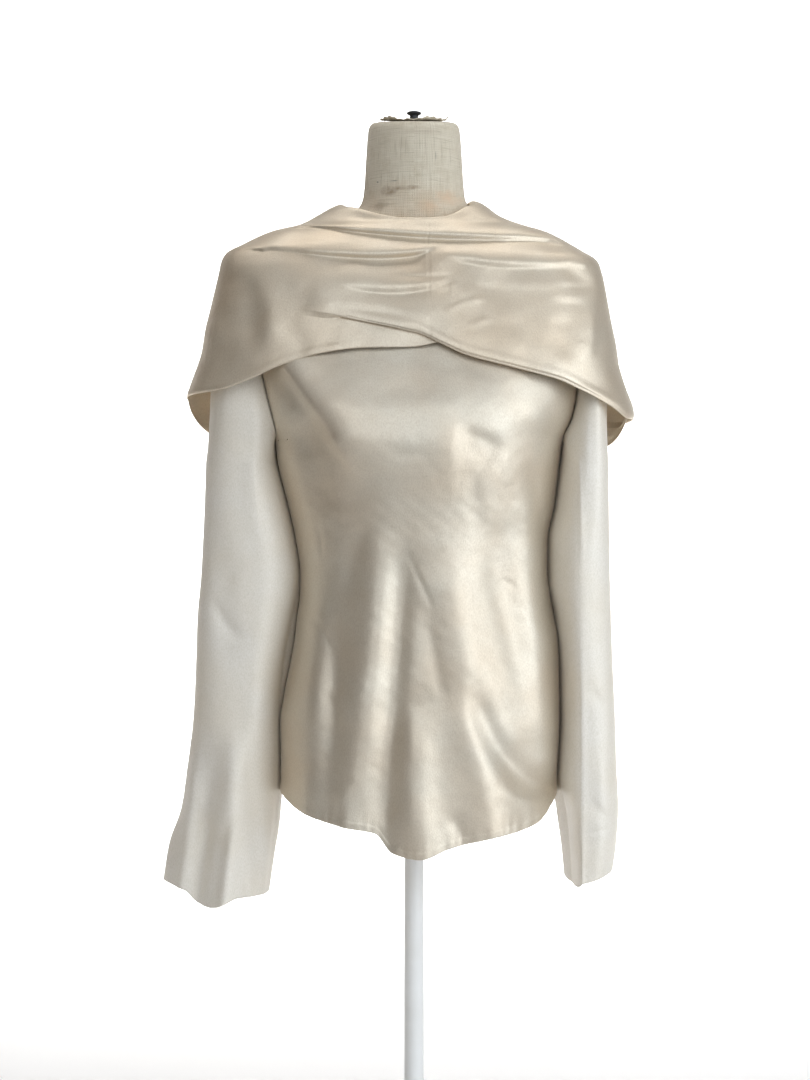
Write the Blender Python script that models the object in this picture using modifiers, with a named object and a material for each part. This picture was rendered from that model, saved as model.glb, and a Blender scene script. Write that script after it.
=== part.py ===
# Silk blouse with a wide cowl collar, on the limbless linen dress form that carries it.
#
# Metres, +Z up. The base plate stands on Z = 0 with its centre at the origin, and the
# front faces -Y. "Left" and "right" are as seen from the front, at -X and +X.

import math

import bmesh
import bpy
import numpy as np

OBJECT_NAME = "silk_blouse_on_form"

# Cloth
CLOTH = 0.0010              # thickness of every cloth wall
SEAM = 0.0010               # between the middles of two edges at a seam: 0.3 mm between corners
REST_LIFT = 0.0036          # the shoulders' cloth, above the form
REST_EASE = 0.0018          # the same, sideways
NECK_EASE = 0.0015          # and more of it at the neckline
BODY_COLUMNS = 30           # side seam to side seam
MIDDLE_CROWDING = 0.25      # above 0 crowds those columns towards the middle
SIDE_ROWS = 7               # of the body's rows, those below the underarm
ARMHOLE_ROWS = 10           # beside the armholes
SHOULDER_ROWS = 7           # and beside the shoulder seams
SLEEVE_ROWS = 13
SLEEVE_CROWDING = 1.5       # above 1 crowds a sleeve's columns towards its outer side
CAP_START = 0.0019          # from the armhole's edge to the sleeve's, between the middles
SLEEVE_CLEAR = 0.0042       # from the middle of a sleeve's wall to the body's
CAP_ROWS = 6                # rows of a sleeve from the armhole to where it hangs straight
COLLAR_COLUMNS = 44

# Heights of the blouse's landmarks
SIDE_HEM = 0.361
UNDERARM = 0.722
SHOULDER_POINT = 0.902
NECK_POINT = 0.9585
FRONT_NECK = 0.928
BACK_NECK = 0.948

# Collar
NECK_CLEAR = 0.0013          # from the middle of the collar's inner layer to the neck
ROLL_RISE = 0.0030          # the roll at the neck, above the layer that falls outside
ROLL_WIDTH = 0.0048         # between the two layers at the roll
LAP = 0.0045                # how far the lapped part stands over the part below it
LAP_FADE = 0.060            # length over which that sinks back
TUCK = 0.013                # height of the pleat's hidden layer
PLEAT_TURN = 0.0022         # height of the pleat's turns
PLEAT_STEP = 0.0012         # between those rows where there is no pleat

# Form and stand
FORM_COLUMNS = 24
NECK_TOP = 1.0545
NECK_TILT = 0.15            # the neck's top slopes down towards the front
NECK_LEVEL = 1.014          # height below which its sections are level
GATHER_RADIUS = 0.0365
GATHER_PLEATS = 16
KNOB_RADIUS = 0.0078
KNOB_TOP = 1.0660
POLE_RADIUS = 0.0100
BASE_RADIUS = 0.1400
BASE_THICKNESS = 0.0080
HUB_RADIUS = 0.0220
HUB_TOP = 0.0300
SOCKET_RADIUS = 0.0300
SOCKET_HEIGHT = 0.0220
FACE_GAP = 0.0003           # between hard pieces that touch


def table(columns, *rows):
    """A short table: an array for each named column."""
    return dict(zip(columns.split(), np.array(rows, float).T))


# Level sections of the torso: half its width, its depth to the front and to the back of
# the axis, and how square they are (2 is an ellipse).
FORM = table(
    "height half_width front back square",
    (0.376, 0.1340, 0.1000, 0.1080, 2.2),
    (0.420, 0.1350, 0.1040, 0.1140, 2.2),
    (0.458, 0.1310, 0.1020, 0.1120, 2.2),
    (0.517, 0.1190, 0.0920, 0.0980, 2.1),
    (0.566, 0.1100, 0.0830, 0.0840, 2.1),
    (0.585, 0.1085, 0.0810, 0.0810, 2.1),
    (0.610, 0.1100, 0.0830, 0.0800, 2.1),
    (0.650, 0.1190, 0.0970, 0.0830, 2.1),
    (0.700, 0.1320, 0.1170, 0.0880, 2.2),
    (0.745, 0.1430, 0.1190, 0.0930, 2.3),
    (0.780, 0.1540, 0.1080, 0.0960, 2.4),
    (0.820, 0.1690, 0.0930, 0.0970, 2.5),
    (0.860, 0.1830, 0.0800, 0.0920, 2.6),
    (0.885, 0.1870, 0.0730, 0.0850, 2.6),
    (0.897, 0.1860, 0.0690, 0.0810, 2.5),
    (0.908, 0.1780, 0.0650, 0.0770, 2.4),
    (0.919, 0.1600, 0.0605, 0.0710, 2.3),
    (0.932, 0.1300, 0.0560, 0.0650, 2.2),
    (0.943, 0.1000, 0.0525, 0.0600, 2.1),
    (0.952, 0.0770, 0.0515, 0.0565, 2.0),
    (0.962, 0.0600, 0.0510, 0.0540, 2.0),
    (0.975, 0.0530, 0.0505, 0.0520, 2.0),
    (1.014, 0.0500, 0.0490, 0.0500, 2.0),
    (1.040, 0.0482, 0.0476, 0.0482, 2.0),
    (1.0475, 0.0471, 0.0465, 0.0471, 2.0),
    (1.0515, 0.0449, 0.0444, 0.0449, 2.0),
    (1.0540, 0.0410, 0.0406, 0.0410, 2.0),
    (1.0545, 0.0372, 0.0370, 0.0372, 2.0),
)

# Level sections of the blouse's body where it stands clear of the form.
BLOUSE = table(
    "height left right front back",
    (0.290, 0.1435, 0.1515, 0.1200, 0.1240),
    (0.330, 0.1400, 0.1495, 0.1195, 0.1240),
    (0.380, 0.1380, 0.1480, 0.1180, 0.1230),
    (0.434, 0.1385, 0.1505, 0.1170, 0.1260),
    (0.458, 0.1350, 0.1505, 0.1160, 0.1240),
    (0.490, 0.1285, 0.1500, 0.1145, 0.1190),
    (0.517, 0.1235, 0.1490, 0.1130, 0.1140),
    (0.540, 0.1212, 0.1450, 0.1115, 0.1095),
    (0.566, 0.1180, 0.1405, 0.1105, 0.1060),
    (0.585, 0.1178, 0.1382, 0.1105, 0.1040),
    (0.620, 0.1225, 0.1385, 0.1120, 0.1005),
    (0.655, 0.1300, 0.1450, 0.1170, 0.0985),
    (0.700, 0.1410, 0.1502, 0.1240, 0.0970),
    (0.722, 0.1438, 0.1535, 0.1245, 0.0975),
    (0.745, 0.1520, 0.1650, 0.1235, 0.0985),
    (0.773, 0.1625, 0.1735, 0.1150, 0.0990),
    (0.800, 0.1710, 0.1790, 0.1045, 0.0990),
    (0.840, 0.1840, 0.1870, 0.0895, 0.0965),
    (0.870, 0.1900, 0.1910, 0.0795, 0.0910),
    (0.895, 0.1870, 0.1870, 0.0700, 0.0830),
    (0.975, 0.0400, 0.0400, 0.0300, 0.0300),
)

# How far the armhole seams lie inside the sections above.
ARMHOLE = table(
    "height left right",
    (0.722, 0.0000, 0.0000),
    (0.729, 0.0047, 0.0025),
    (0.745, 0.0080, 0.0040),
    (0.773, 0.0115, 0.0075),
    (0.800, 0.0145, 0.0120),
    (0.840, 0.0215, 0.0180),
    (0.870, 0.0200, 0.0160),
    (0.885, 0.0120, 0.0100),
    (0.902, 0.0000, 0.0000),
)

# The hems of the body, by the place across it.
FRONT_HEM = table(
    "across height",
    (-0.140, 0.361), (-0.115, 0.347), (-0.073, 0.3355), (-0.040, 0.329), (-0.022, 0.310),
    (0.005, 0.3045), (0.033, 0.314), (0.076, 0.324), (0.122, 0.334), (0.151, 0.361),
)
BACK_HEM = table(
    "across height",
    (-0.140, 0.361), (-0.100, 0.336), (0.000, 0.322), (0.100, 0.336), (0.151, 0.361),
)

# Level sections of the hanging sleeves: the outermost and innermost places across, the
# place across of the front and back folds, the depth of those folds, the depth of the
# outermost and innermost places, and how far the back wraps in behind the body. Heights
# are before the slope of the cuff.
LEFT_SLEEVE = table(
    "height outer inner fold front back middle wrap",
    (0.252, 0.2590, 0.1510, 0.196, -0.055, 0.030, -0.012, 0.004),
    (0.290, 0.2530, 0.1460, 0.190, -0.055, 0.030, -0.012, 0.005),
    (0.330, 0.2406, 0.1425, 0.182, -0.056, 0.030, -0.012, 0.010),
    (0.380, 0.2339, 0.1400, 0.176, -0.057, 0.030, -0.012, 0.013),
    (0.440, 0.2272, 0.1404, 0.170, -0.058, 0.031, -0.012, 0.015),
    (0.490, 0.2247, 0.1361, 0.166, -0.059, 0.033, -0.012, 0.020),
    (0.540, 0.2230, 0.1272, 0.160, -0.060, 0.034, -0.013, 0.019),
    (0.580, 0.2194, 0.1200, 0.159, -0.060, 0.035, -0.014, 0.013),
    (0.620, 0.2170, 0.1247, 0.160, -0.061, 0.037, -0.016, 0.012),
    (0.655, 0.2154, 0.1322, 0.162, -0.062, 0.039, -0.016, 0.006),
    (0.700, 0.2140, 0.1432, 0.165, -0.062, 0.042, -0.014, 0.000),
)
RIGHT_SLEEVE = table(
    "height outer inner fold front back middle wrap",
    (0.262, 0.2045, 0.1575, 0.168, -0.068, 0.040, -0.010, 0.003),
    (0.290, 0.2081, 0.1560, 0.168, -0.070, 0.040, -0.010, 0.005),
    (0.330, 0.2098, 0.1528, 0.168, -0.071, 0.041, -0.010, 0.009),
    (0.380, 0.2079, 0.1503, 0.170, -0.072, 0.042, -0.010, 0.010),
    (0.440, 0.2062, 0.1528, 0.170, -0.072, 0.042, -0.012, 0.010),
    (0.490, 0.2038, 0.1523, 0.169, -0.073, 0.043, -0.014, 0.011),
    (0.540, 0.2020, 0.1475, 0.168, -0.074, 0.044, -0.016, 0.011),
    (0.580, 0.2007, 0.1408, 0.168, -0.075, 0.045, -0.018, 0.011),
    (0.620, 0.2000, 0.1408, 0.170, -0.075, 0.048, -0.018, 0.010),
    (0.655, 0.1995, 0.1472, 0.173, -0.075, 0.052, -0.017, 0.005),
    (0.700, 0.1990, 0.1528, 0.177, -0.075, 0.056, -0.015, 0.000),
)

# The sloping cuffs: how far the edge drops or rises round the cuff, by the angle from
# the outer side round by the front.
LEFT_CUFF = table(
    "angle rise",
    (0, 0.014), (45, 0.004), (80, -0.016), (130, -0.003), (180, 0.000), (270, 0.006),
    (360, 0.014),
)
RIGHT_CUFF = table(
    "angle rise",
    (0, 0.010), (60, 0.000), (100, -0.004), (180, -0.006), (270, 0.002), (360, 0.010),
)

# Level sections of the collar's outer layer.
COWL = table(
    "height left right front back square",
    (0.690, 0.2250, 0.2180, 0.1260, 0.1170, 2.5),
    (0.732, 0.2320, 0.2220, 0.1230, 0.1140, 2.5),
    (0.755, 0.2365, 0.2230, 0.1200, 0.1120, 2.5),
    (0.776, 0.2325, 0.2170, 0.1165, 0.1100, 2.5),
    (0.812, 0.2205, 0.2105, 0.1100, 0.1080, 2.5),
    (0.838, 0.2160, 0.2060, 0.1030, 0.1060, 2.5),
    (0.875, 0.2075, 0.1990, 0.0930, 0.1010, 2.5),
    (0.897, 0.2022, 0.1945, 0.0862, 0.0970, 2.5),
    (0.909, 0.1995, 0.1900, 0.0820, 0.0940, 2.4),
    (0.917, 0.1950, 0.1780, 0.0785, 0.0915, 2.3),
    (0.926, 0.1780, 0.1630, 0.0745, 0.0880, 2.2),
    (0.932, 0.1660, 0.1520, 0.0710, 0.0850, 2.2),
    (0.939, 0.1500, 0.1380, 0.0655, 0.0810, 2.1),
    (0.9455, 0.1230, 0.1160, 0.0590, 0.0775, 2.0),
    (0.949, 0.1140, 0.1050, 0.0572, 0.0760, 2.0),
    (0.957, 0.0995, 0.0870, 0.0550, 0.0725, 2.0),
    (0.964, 0.0870, 0.0780, 0.0525, 0.0690, 2.0),
    (0.970, 0.0735, 0.0685, 0.0500, 0.0655, 2.0),
    (0.976, 0.0580, 0.0560, 0.0470, 0.0610, 2.0),
    (0.985, 0.0400, 0.0400, 0.0400, 0.0540, 2.0),
)

# Round the collar, by the angle from the front towards the right: the radius of its roll
# at the neck, the height of its hem, the height where it laps, and how far it is lapped.
COLLAR_ROUND = table(
    "angle roll hem lap pleat",
    (-180, 0.0673, 0.7000, 0.785, 0.00),
    (-135, 0.0735, 0.7150, 0.800, 0.00),
    (-112, 0.0809, 0.7346, 0.822, 0.00),
    (-90, 0.0849, 0.7656, 0.838, 0.00),
    (-56, 0.0838, 0.7707, 0.848, 0.00),
    (-41, 0.0768, 0.7829, 0.852, 0.00),
    (-32, 0.0725, 0.7950, 0.852, 0.00),
    (-20, 0.0661, 0.8064, 0.8475, 0.34),
    (-10, 0.0617, 0.8112, 0.8390, 0.78),
    (-1, 0.0596, 0.8119, 0.8290, 1.00),
    (4.6, 0.0602, 0.8170, 0.8150, 1.00),
    (10, 0.0617, 0.8070, 0.8040, 1.00),
    (18, 0.0651, 0.7990, 0.7960, 1.00),
    (28, 0.0675, 0.7910, 0.7880, 1.00),
    (40, 0.0691, 0.7810, 0.7780, 1.00),
    (59, 0.0733, 0.7584, 0.7554, 1.00),
    (72, 0.0717, 0.7473, 0.7443, 1.00),
    (90, 0.0694, 0.7470, 0.7440, 0.85),
    (112, 0.0712, 0.7208, 0.7450, 0.20),
    (135, 0.0700, 0.7080, 0.7700, 0.00),
    (180, 0.0673, 0.7000, 0.7850, 0.00),
)

# The largest folds, each a curve across the front or the back by three of its points,
# with its height over the cloth (below it where negative) and half its width.
FOLD_COLUMNS = "x0 z0 x1 z1 x2 z2 height width"
COLLAR_FRONT_FOLDS = table(
    FOLD_COLUMNS,
    (-0.111, 0.936, 0.006, 0.925, 0.143, 0.923, -0.0030, 0.0040),
    (-0.115, 0.923, -0.024, 0.915, 0.040, 0.918, 0.0040, 0.0060),
    (-0.143, 0.914, -0.035, 0.905, 0.031, 0.917, -0.0045, 0.0055),
    (0.026, 0.904, 0.106, 0.896, 0.150, 0.897, -0.0030, 0.0060),
    (-0.115, 0.899, -0.024, 0.889, 0.056, 0.893, 0.0045, 0.0090),
    (-0.085, 0.869, -0.014, 0.870, 0.046, 0.878, -0.0035, 0.0090),
    (-0.164, 0.875, -0.166, 0.850, -0.160, 0.815, -0.0040, 0.0080),
    (-0.144, 0.880, -0.143, 0.850, -0.136, 0.815, 0.0030, 0.0080),
)
COLLAR_BACK_FOLDS = table(
    FOLD_COLUMNS,
    (-0.130, 0.925, 0.000, 0.880, 0.130, 0.920, 0.0050, 0.0110),
    (-0.140, 0.900, 0.000, 0.850, 0.140, 0.895, -0.0035, 0.0100),
    (-0.160, 0.880, 0.000, 0.815, 0.160, 0.875, 0.0050, 0.0130),
    (-0.180, 0.840, -0.020, 0.765, 0.170, 0.835, -0.0035, 0.0120),
    (-0.120, 0.780, -0.118, 0.740, -0.122, 0.700, 0.0050, 0.0120),
    (0.060, 0.780, 0.066, 0.740, 0.070, 0.700, 0.0060, 0.0140),
)
BODY_FRONT_FOLDS = table(
    FOLD_COLUMNS,
    (-0.026, 0.655, -0.040, 0.520, -0.068, 0.340, 0.0040, 0.0130),
    (-0.014, 0.640, -0.021, 0.500, -0.034, 0.320, -0.0060, 0.0120),
    (0.000, 0.480, 0.000, 0.380, 0.006, 0.300, 0.0080, 0.0150),
    (0.026, 0.650, 0.050, 0.500, 0.086, 0.320, 0.0055, 0.0190),
    (0.075, 0.640, 0.098, 0.560, 0.122, 0.470, -0.0055, 0.0120),
    (0.052, 0.500, 0.075, 0.420, 0.132, 0.365, -0.0050, 0.0120),
    (0.112, 0.680, 0.118, 0.560, 0.135, 0.400, 0.0035, 0.0130),
    (-0.125, 0.790, -0.088, 0.740, -0.052, 0.680, -0.0025, 0.0120),
    (-0.100, 0.560, -0.100, 0.440, -0.104, 0.340, 0.0040, 0.0150),
)
BODY_BACK_FOLDS = table(
    FOLD_COLUMNS,
    (-0.095, 0.560, -0.098, 0.450, -0.104, 0.330, 0.0050, 0.0150),
    (-0.050, 0.600, -0.052, 0.450, -0.048, 0.320, -0.0045, 0.0140),
    (0.000, 0.560, 0.004, 0.430, 0.006, 0.310, 0.0060, 0.0170),
    (0.055, 0.600, 0.056, 0.450, 0.062, 0.320, -0.0050, 0.0140),
    (0.105, 0.570, 0.104, 0.450, 0.110, 0.330, 0.0050, 0.0160),
)
LEFT_SLEEVE_FOLDS = table(
    FOLD_COLUMNS,
    (-0.180, 0.330, -0.188, 0.300, -0.196, 0.240, 0.0050, 0.0100),
    (-0.222, 0.370, -0.226, 0.320, -0.236, 0.260, -0.0040, 0.0110),
    (-0.196, 0.640, -0.192, 0.560, -0.186, 0.480, -0.0030, 0.0130),
)
RIGHT_SLEEVE_FOLDS = table(
    FOLD_COLUMNS,
    (0.188, 0.640, 0.190, 0.560, 0.190, 0.460, -0.0030, 0.0100),
    (0.192, 0.400, 0.190, 0.340, 0.188, 0.270, 0.0030, 0.0090),
)


def read(rows, column, at):
    """A column of a table, by its first column: a monotone cubic through the rows."""
    keys = next(iter(rows.values()))
    values = rows[column]
    steps = np.diff(keys)
    slopes = np.diff(values) / steps
    tangents = np.concatenate([slopes[:1], np.zeros(len(keys) - 2), slopes[-1:]])
    turning = slopes[:-1] * slopes[1:] <= 0
    before = 2 * steps[1:] + steps[:-1]
    after = steps[1:] + 2 * steps[:-1]
    safe = np.where(turning[:, None], 1.0, np.stack([slopes[:-1], slopes[1:]], axis=1))
    mean = (before + after) / (before / safe[:, 0] + after / safe[:, 1])
    tangents[1:-1] = np.where(turning, 0.0, mean)
    at = np.clip(np.asarray(at, float), keys[0], keys[-1])
    k = np.clip(np.searchsorted(keys, at, side="right") - 1, 0, len(steps) - 1)
    t = (at - keys[k]) / steps[k]
    return (
        values[k] * (2 * t**3 - 3 * t**2 + 1)
        + values[k + 1] * (3 * t**2 - 2 * t**3)
        + steps[k] * tangents[k] * (t**3 - 2 * t**2 + t)
        + steps[k] * tangents[k + 1] * (t**3 - t**2)
    )


def ease_in_out(value):
    value = np.clip(value, 0.0, 1.0)
    return value * value * (3 - 2 * value)


def on_section(angle, left, right, front, back, square):
    """A level section's point across and in depth, by its angle from the front."""
    sine = np.sin(angle)
    cosine = np.cos(angle)
    x = np.where(sine < 0, left, right) * np.sign(sine) * np.abs(sine) ** (2 / square)
    y = np.where(cosine < 0, back, front) * np.sign(cosine) * np.abs(cosine) ** (2 / square)
    return x, -y


def kept_outside(x, y, left, right, front, back, square):
    """The points, with those inside the section moved out to it."""
    half = np.where(x < 0, left, right)
    depth = np.where(y < 0, front, back)
    reach = ((np.abs(x) / half) ** square + (np.abs(y) / depth) ** square) ** (1 / square)
    grow = 1 / np.minimum(np.maximum(reach, 1e-6), 1.0)
    return x * grow, y * grow


def resting_section(height):
    """The form's section as the cloth lies on it."""
    below = np.asarray(height) - REST_LIFT
    half, front, back, square = (
        read(FORM, column, below) for column in ("half_width", "front", "back", "square")
    )
    ease = REST_EASE + NECK_EASE * ease_in_out((below - 0.925) / 0.025)
    return half + ease, half + ease, front + ease, back + ease, square


def blouse_section(height):
    """The blouse's section: the wider of the form's and its own."""
    rest = resting_section(height)
    own = [read(BLOUSE, column, height) for column in ("left", "right", "front", "back")]
    return tuple(np.maximum(a, b) for a, b in zip(rest, own)) + (rest[4],)


def fold_relief(folds, x, z):
    """The height of the folds over the cloth, at places across and up."""
    relief = np.zeros(np.broadcast(x, z).shape)
    steps = np.linspace(0, 1, 13)
    for i in range(len(folds["x0"])):
        row = {name: values[i] for name, values in folds.items()}
        middle_x = 2 * row["x1"] - (row["x0"] + row["x2"]) / 2
        middle_z = 2 * row["z1"] - (row["z0"] + row["z2"]) / 2
        blend = (1 - steps) ** 2, 2 * steps * (1 - steps), steps**2
        line_x = blend[0] * row["x0"] + blend[1] * middle_x + blend[2] * row["x2"]
        line_z = blend[0] * row["z0"] + blend[1] * middle_z + blend[2] * row["z2"]
        away = np.full(relief.shape, 1.0)
        for j in range(len(steps) - 1):
            along = np.array([line_x[j + 1] - line_x[j], line_z[j + 1] - line_z[j]])
            from_x = x - line_x[j]
            from_z = z - line_z[j]
            t = np.clip((from_x * along[0] + from_z * along[1]) / (along @ along), 0, 1)
            away = np.minimum(away, np.hypot(from_x - t * along[0], from_z - t * along[1]))
        relief += row["height"] * np.exp(-((away / row["width"]) ** 2))
    return relief


def material(name, colour, roughness, metallic=0.0):
    made = bpy.data.materials.new(name)
    made.use_nodes = True
    shader = made.node_tree.nodes["Principled BSDF"]
    shader.inputs["Base Color"].default_value = (*colour, 1.0)
    shader.inputs["Roughness"].default_value = roughness
    shader.inputs["Metallic"].default_value = metallic
    return made


def put_in_scene(name, mesh, finish, collection):
    made = bpy.data.objects.new(name, mesh)
    mesh.materials.append(finish)
    mesh.shade_smooth()
    mesh.set_sharp_from_angle(angle=math.radians(50))
    collection.objects.link(made)
    return made


def lofted(name, grid, finish, collection, tube=False, capped=False):
    """An object through rows of points; a tube's rows close on themselves."""
    rows, columns = grid.shape[:2]
    work = bmesh.new()
    points = [[work.verts.new(point) for point in row] for row in grid]
    for lower, upper in zip(points, points[1:]):
        for i in range(columns if tube else columns - 1):
            j = (i + 1) % columns
            work.faces.new((lower[i], lower[j], upper[j], upper[i]))
    if capped:
        work.faces.new(reversed(points[0]))
        work.faces.new(points[-1])
    mesh = bpy.data.meshes.new(name)
    work.to_mesh(mesh)
    work.free()
    return put_in_scene(name, mesh, finish, collection)


def as_cloth(piece):
    """Gives an open surface the thickness of the cloth, half to each side."""
    wall = piece.modifiers.new("cloth", "SOLIDIFY")
    wall.thickness = CLOTH
    wall.offset = 0.0
    wall.use_rim = True
    return piece


def turned(name, profile, steps, finish, collection):
    """A turned piece from its profile's radii and heights, listed from the top down."""
    mesh = bpy.data.meshes.new(name)
    mesh.from_pydata(
        [(radius, 0.0, height) for radius, height in profile],
        [(i, i + 1) for i in range(len(profile) - 1)],
        [],
    )
    piece = put_in_scene(name, mesh, finish, collection)
    screw = piece.modifiers.new("turn", "SCREW")
    screw.steps = screw.render_steps = steps
    screw.use_merge_vertices = True
    screw.merge_threshold = 0.00005
    return piece


# The body of the blouse

def body_places():
    """Each column's place across a panel, from -1 to 1."""
    place = np.linspace(-1, 1, BODY_COLUMNS + 1)
    return place + MIDDLE_CROWDING * (place**3 - place)


def rows_up():
    """How far up a panel its rows are, from 0 to 1, by their heights at its edge."""
    turn = np.linspace(0, math.pi, ARMHOLE_ROWS + 1)
    heights = np.concatenate([
        np.linspace(SIDE_HEM, UNDERARM, SIDE_ROWS + 1)[:-1],
        UNDERARM + (SHOULDER_POINT - UNDERARM) * (1 - np.cos(turn)) / 2,
        np.linspace(SHOULDER_POINT, NECK_POINT, SHOULDER_ROWS + 1)[1:],
    ])
    return ((heights - SIDE_HEM) / (NECK_POINT - SIDE_HEM))[:, None]


def edge_angle(height, sign):
    """The angle from a panel's middle to its edge: a quarter turn at the side and
    shoulder seams, less beside the armholes."""
    left, right, _, _, square = blouse_section(height)
    inset = np.where(sign < 0, read(ARMHOLE, "left", height), read(ARMHOLE, "right", height))
    return np.arcsin((1 - inset / np.where(sign < 0, left, right)) ** (square / 2))


def neckline(side, place):
    """For each column, the height at which it ends and the angle there."""
    turn = np.abs(place) ** 0.8 * math.pi / 2
    lowest = FRONT_NECK if side < 0 else BACK_NECK
    height = lowest + (NECK_POINT - lowest) * (1 - np.cos(turn))
    left, _, _, _, square = blouse_section(height)
    across = np.sin(turn) * blouse_section(NECK_POINT)[0] / left
    return height, np.arcsin(np.minimum(across, 1.0) ** (square / 2))


def body_grid(side):
    """The points of the front (side -1) or back (side 1) panel, hem first."""
    place = body_places()
    sign = np.sign(place)
    part = np.abs(place)
    top, top_angle = neckline(side, place)
    hem = FRONT_HEM if side < 0 else BACK_HEM
    bottom = read(hem, "height", on_section(place * math.pi / 2, *blouse_section(0.330))[0])
    up = rows_up()
    height = bottom + (top - bottom) * up
    angle = part * math.pi / 2 - (math.pi / 2 - edge_angle(height, sign)) * part**1.6
    at_shoulder = up[SIDE_ROWS + ARMHOLE_ROWS]
    rising = np.clip((up - at_shoulder) / (1 - at_shoulder), 0, 1)
    angle = angle + (top_angle - angle) * rising
    left, right, front, back, square = blouse_section(height)
    depth = front if side < 0 else back
    x, y = on_section(angle * sign, left, right, depth, depth, square)
    y = -side * y
    folds = BODY_FRONT_FOLDS if side < 0 else BODY_BACK_FOLDS
    relief = fold_relief(folds, x, height) * np.clip(np.abs(y) / (0.45 * depth), 0, 1)
    x, y = x * (1 + 0.3 * relief / depth), y + side * relief
    x, y = kept_outside(x, y, *resting_section(height))
    y = y + side * SEAM / 2
    return np.stack([x, y, height], axis=2)


def armhole_loop(front, back, sign):
    """The armhole's edge from the shoulder point down the front and up the back."""
    rows = slice(SIDE_ROWS, SIDE_ROWS + ARMHOLE_ROWS + 1)
    column = 0 if sign < 0 else BODY_COLUMNS
    down_front = front[rows, column][::-1]
    up_back = back[rows, column]
    ends = (down_front[0] + up_back[-1]) / 2, (down_front[-1] + up_back[0]) / 2
    return np.concatenate([[ends[0]], down_front[1:-1], [ends[1]], up_back[1:-1]])


def sleeve_ring(rows, height, angle, sign):
    """A sleeve's level section: quarter ellipses between its folds and its sides, and
    at the back a fuller one that reaches in behind the body's side."""
    outer, inner, fold, front, back, middle, wrap = (
        read(rows, column, height)
        for column in ("outer", "inner", "fold", "front", "back", "middle", "wrap")
    )
    swing = np.cos(angle)
    toward = np.sin(angle)
    inward = (fold - inner) * np.maximum(-swing, 0) ** np.where(toward < 0, 0.5, 1.0)
    x = fold + (outer - fold) * np.maximum(swing, 0) - inward
    x -= wrap * np.maximum(-toward, 0) * (1 - swing) / 2
    y = middle + np.where(toward > 0, middle - front, back - middle) * -toward
    return sign * x, y


def outside_panels(x, y, height):
    """A sleeve's points, moved out where they would touch the body."""
    left, right, front, back, square = blouse_section(height)
    room = SLEEVE_CLEAR
    moved = kept_outside(x, y, left + room, right + room, front + room, back + room, square)
    below = height < UNDERARM
    return np.where(below, moved[0], x), np.where(below, moved[1], y)


def sleeve_grid(rows, cuff, folds, loop, sign, bulge):
    count = len(loop)
    part = np.arange(count) * 2 / count
    turn = math.pi * np.minimum(part, 2 - part) ** SLEEVE_CROWDING
    angle = np.where(part <= 1, turn, 2 * math.pi - turn)
    hang_top = rows["height"][-1]
    hang_bottom = rows["height"][0]
    top_x, top_y = sleeve_ring(rows, hang_top, angle, sign)
    rings = []
    outward = (1 + np.cos(angle)) / 2
    start = loop + np.array([sign * CAP_START, 0.0, 0.0])
    start[:, 2] -= CAP_START * (1 - outward)
    for k in range(CAP_ROWS):
        share = k / CAP_ROWS
        hung = np.stack([top_x, top_y, np.full(count, hang_top)], axis=1)
        toward_fold = np.abs(np.sin(angle))
        out = share ** (1 - 0.4 * toward_fold)
        down = share ** (1 + 0.5 * toward_fold)
        ring = start + (hung - start) * np.stack([out, out, down], axis=1)
        swell = 6.75 * share * (1 - share) ** 2
        ring[:, 0] += sign * bulge * swell * outward
        ring[:, 1] -= np.sin(angle) * 0.5 * bulge * swell
        if k > 0:
            ring[:, 0], ring[:, 1] = outside_panels(ring[:, 0], ring[:, 1], ring[:, 2])
        rings.append(ring)
    for k in range(SLEEVE_ROWS + 1):
        share = k / SLEEVE_ROWS
        level = hang_top + (hang_bottom - hang_top) * share
        slope = read(cuff, "rise", np.degrees(angle)) * ease_in_out(share * 2 - 1)
        height = level + slope
        x, y = sleeve_ring(rows, level, angle, sign)
        relief = fold_relief(folds, x, height) * np.clip(np.sin(angle) * 2, 0, 1)
        y = y - relief
        x, y = outside_panels(x, y, height)
        rings.append(np.stack([x, y, height], axis=1))
    return np.array(rings)


# The collar

def cowl_point(angle, height):
    sections = [read(COWL, c, height) for c in ("left", "right", "front", "back", "square")]
    return on_section(angle, *sections)


def roll_height(angle, radius):
    """The height at which the outer layer comes as near to the neck as its roll."""
    low = np.full(angle.shape, 0.930)
    high = np.full(angle.shape, 0.985)
    for _ in range(30):
        middle = (low + high) / 2
        outside = np.hypot(*cowl_point(angle, middle)) > radius
        low = np.where(outside, middle, low)
        high = np.where(outside, high, middle)
    return (low + high) / 2


def neckline_at(front, back, bearing):
    """The neckline's points by their bearing from the front, in radians."""
    loop = np.concatenate([front[-1], back[-1][::-1]])
    found = np.arctan2(loop[:, 0], -loop[:, 1])
    order = np.argsort(found)
    found, loop = found[order], loop[order]
    found = np.concatenate([found[-1:] - 2 * math.pi, found, found[:1] + 2 * math.pi])
    loop = np.concatenate([loop[-1:], loop, loop[:1]])
    return np.stack([np.interp(bearing, found, loop[:, i]) for i in range(3)], axis=1)


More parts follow.
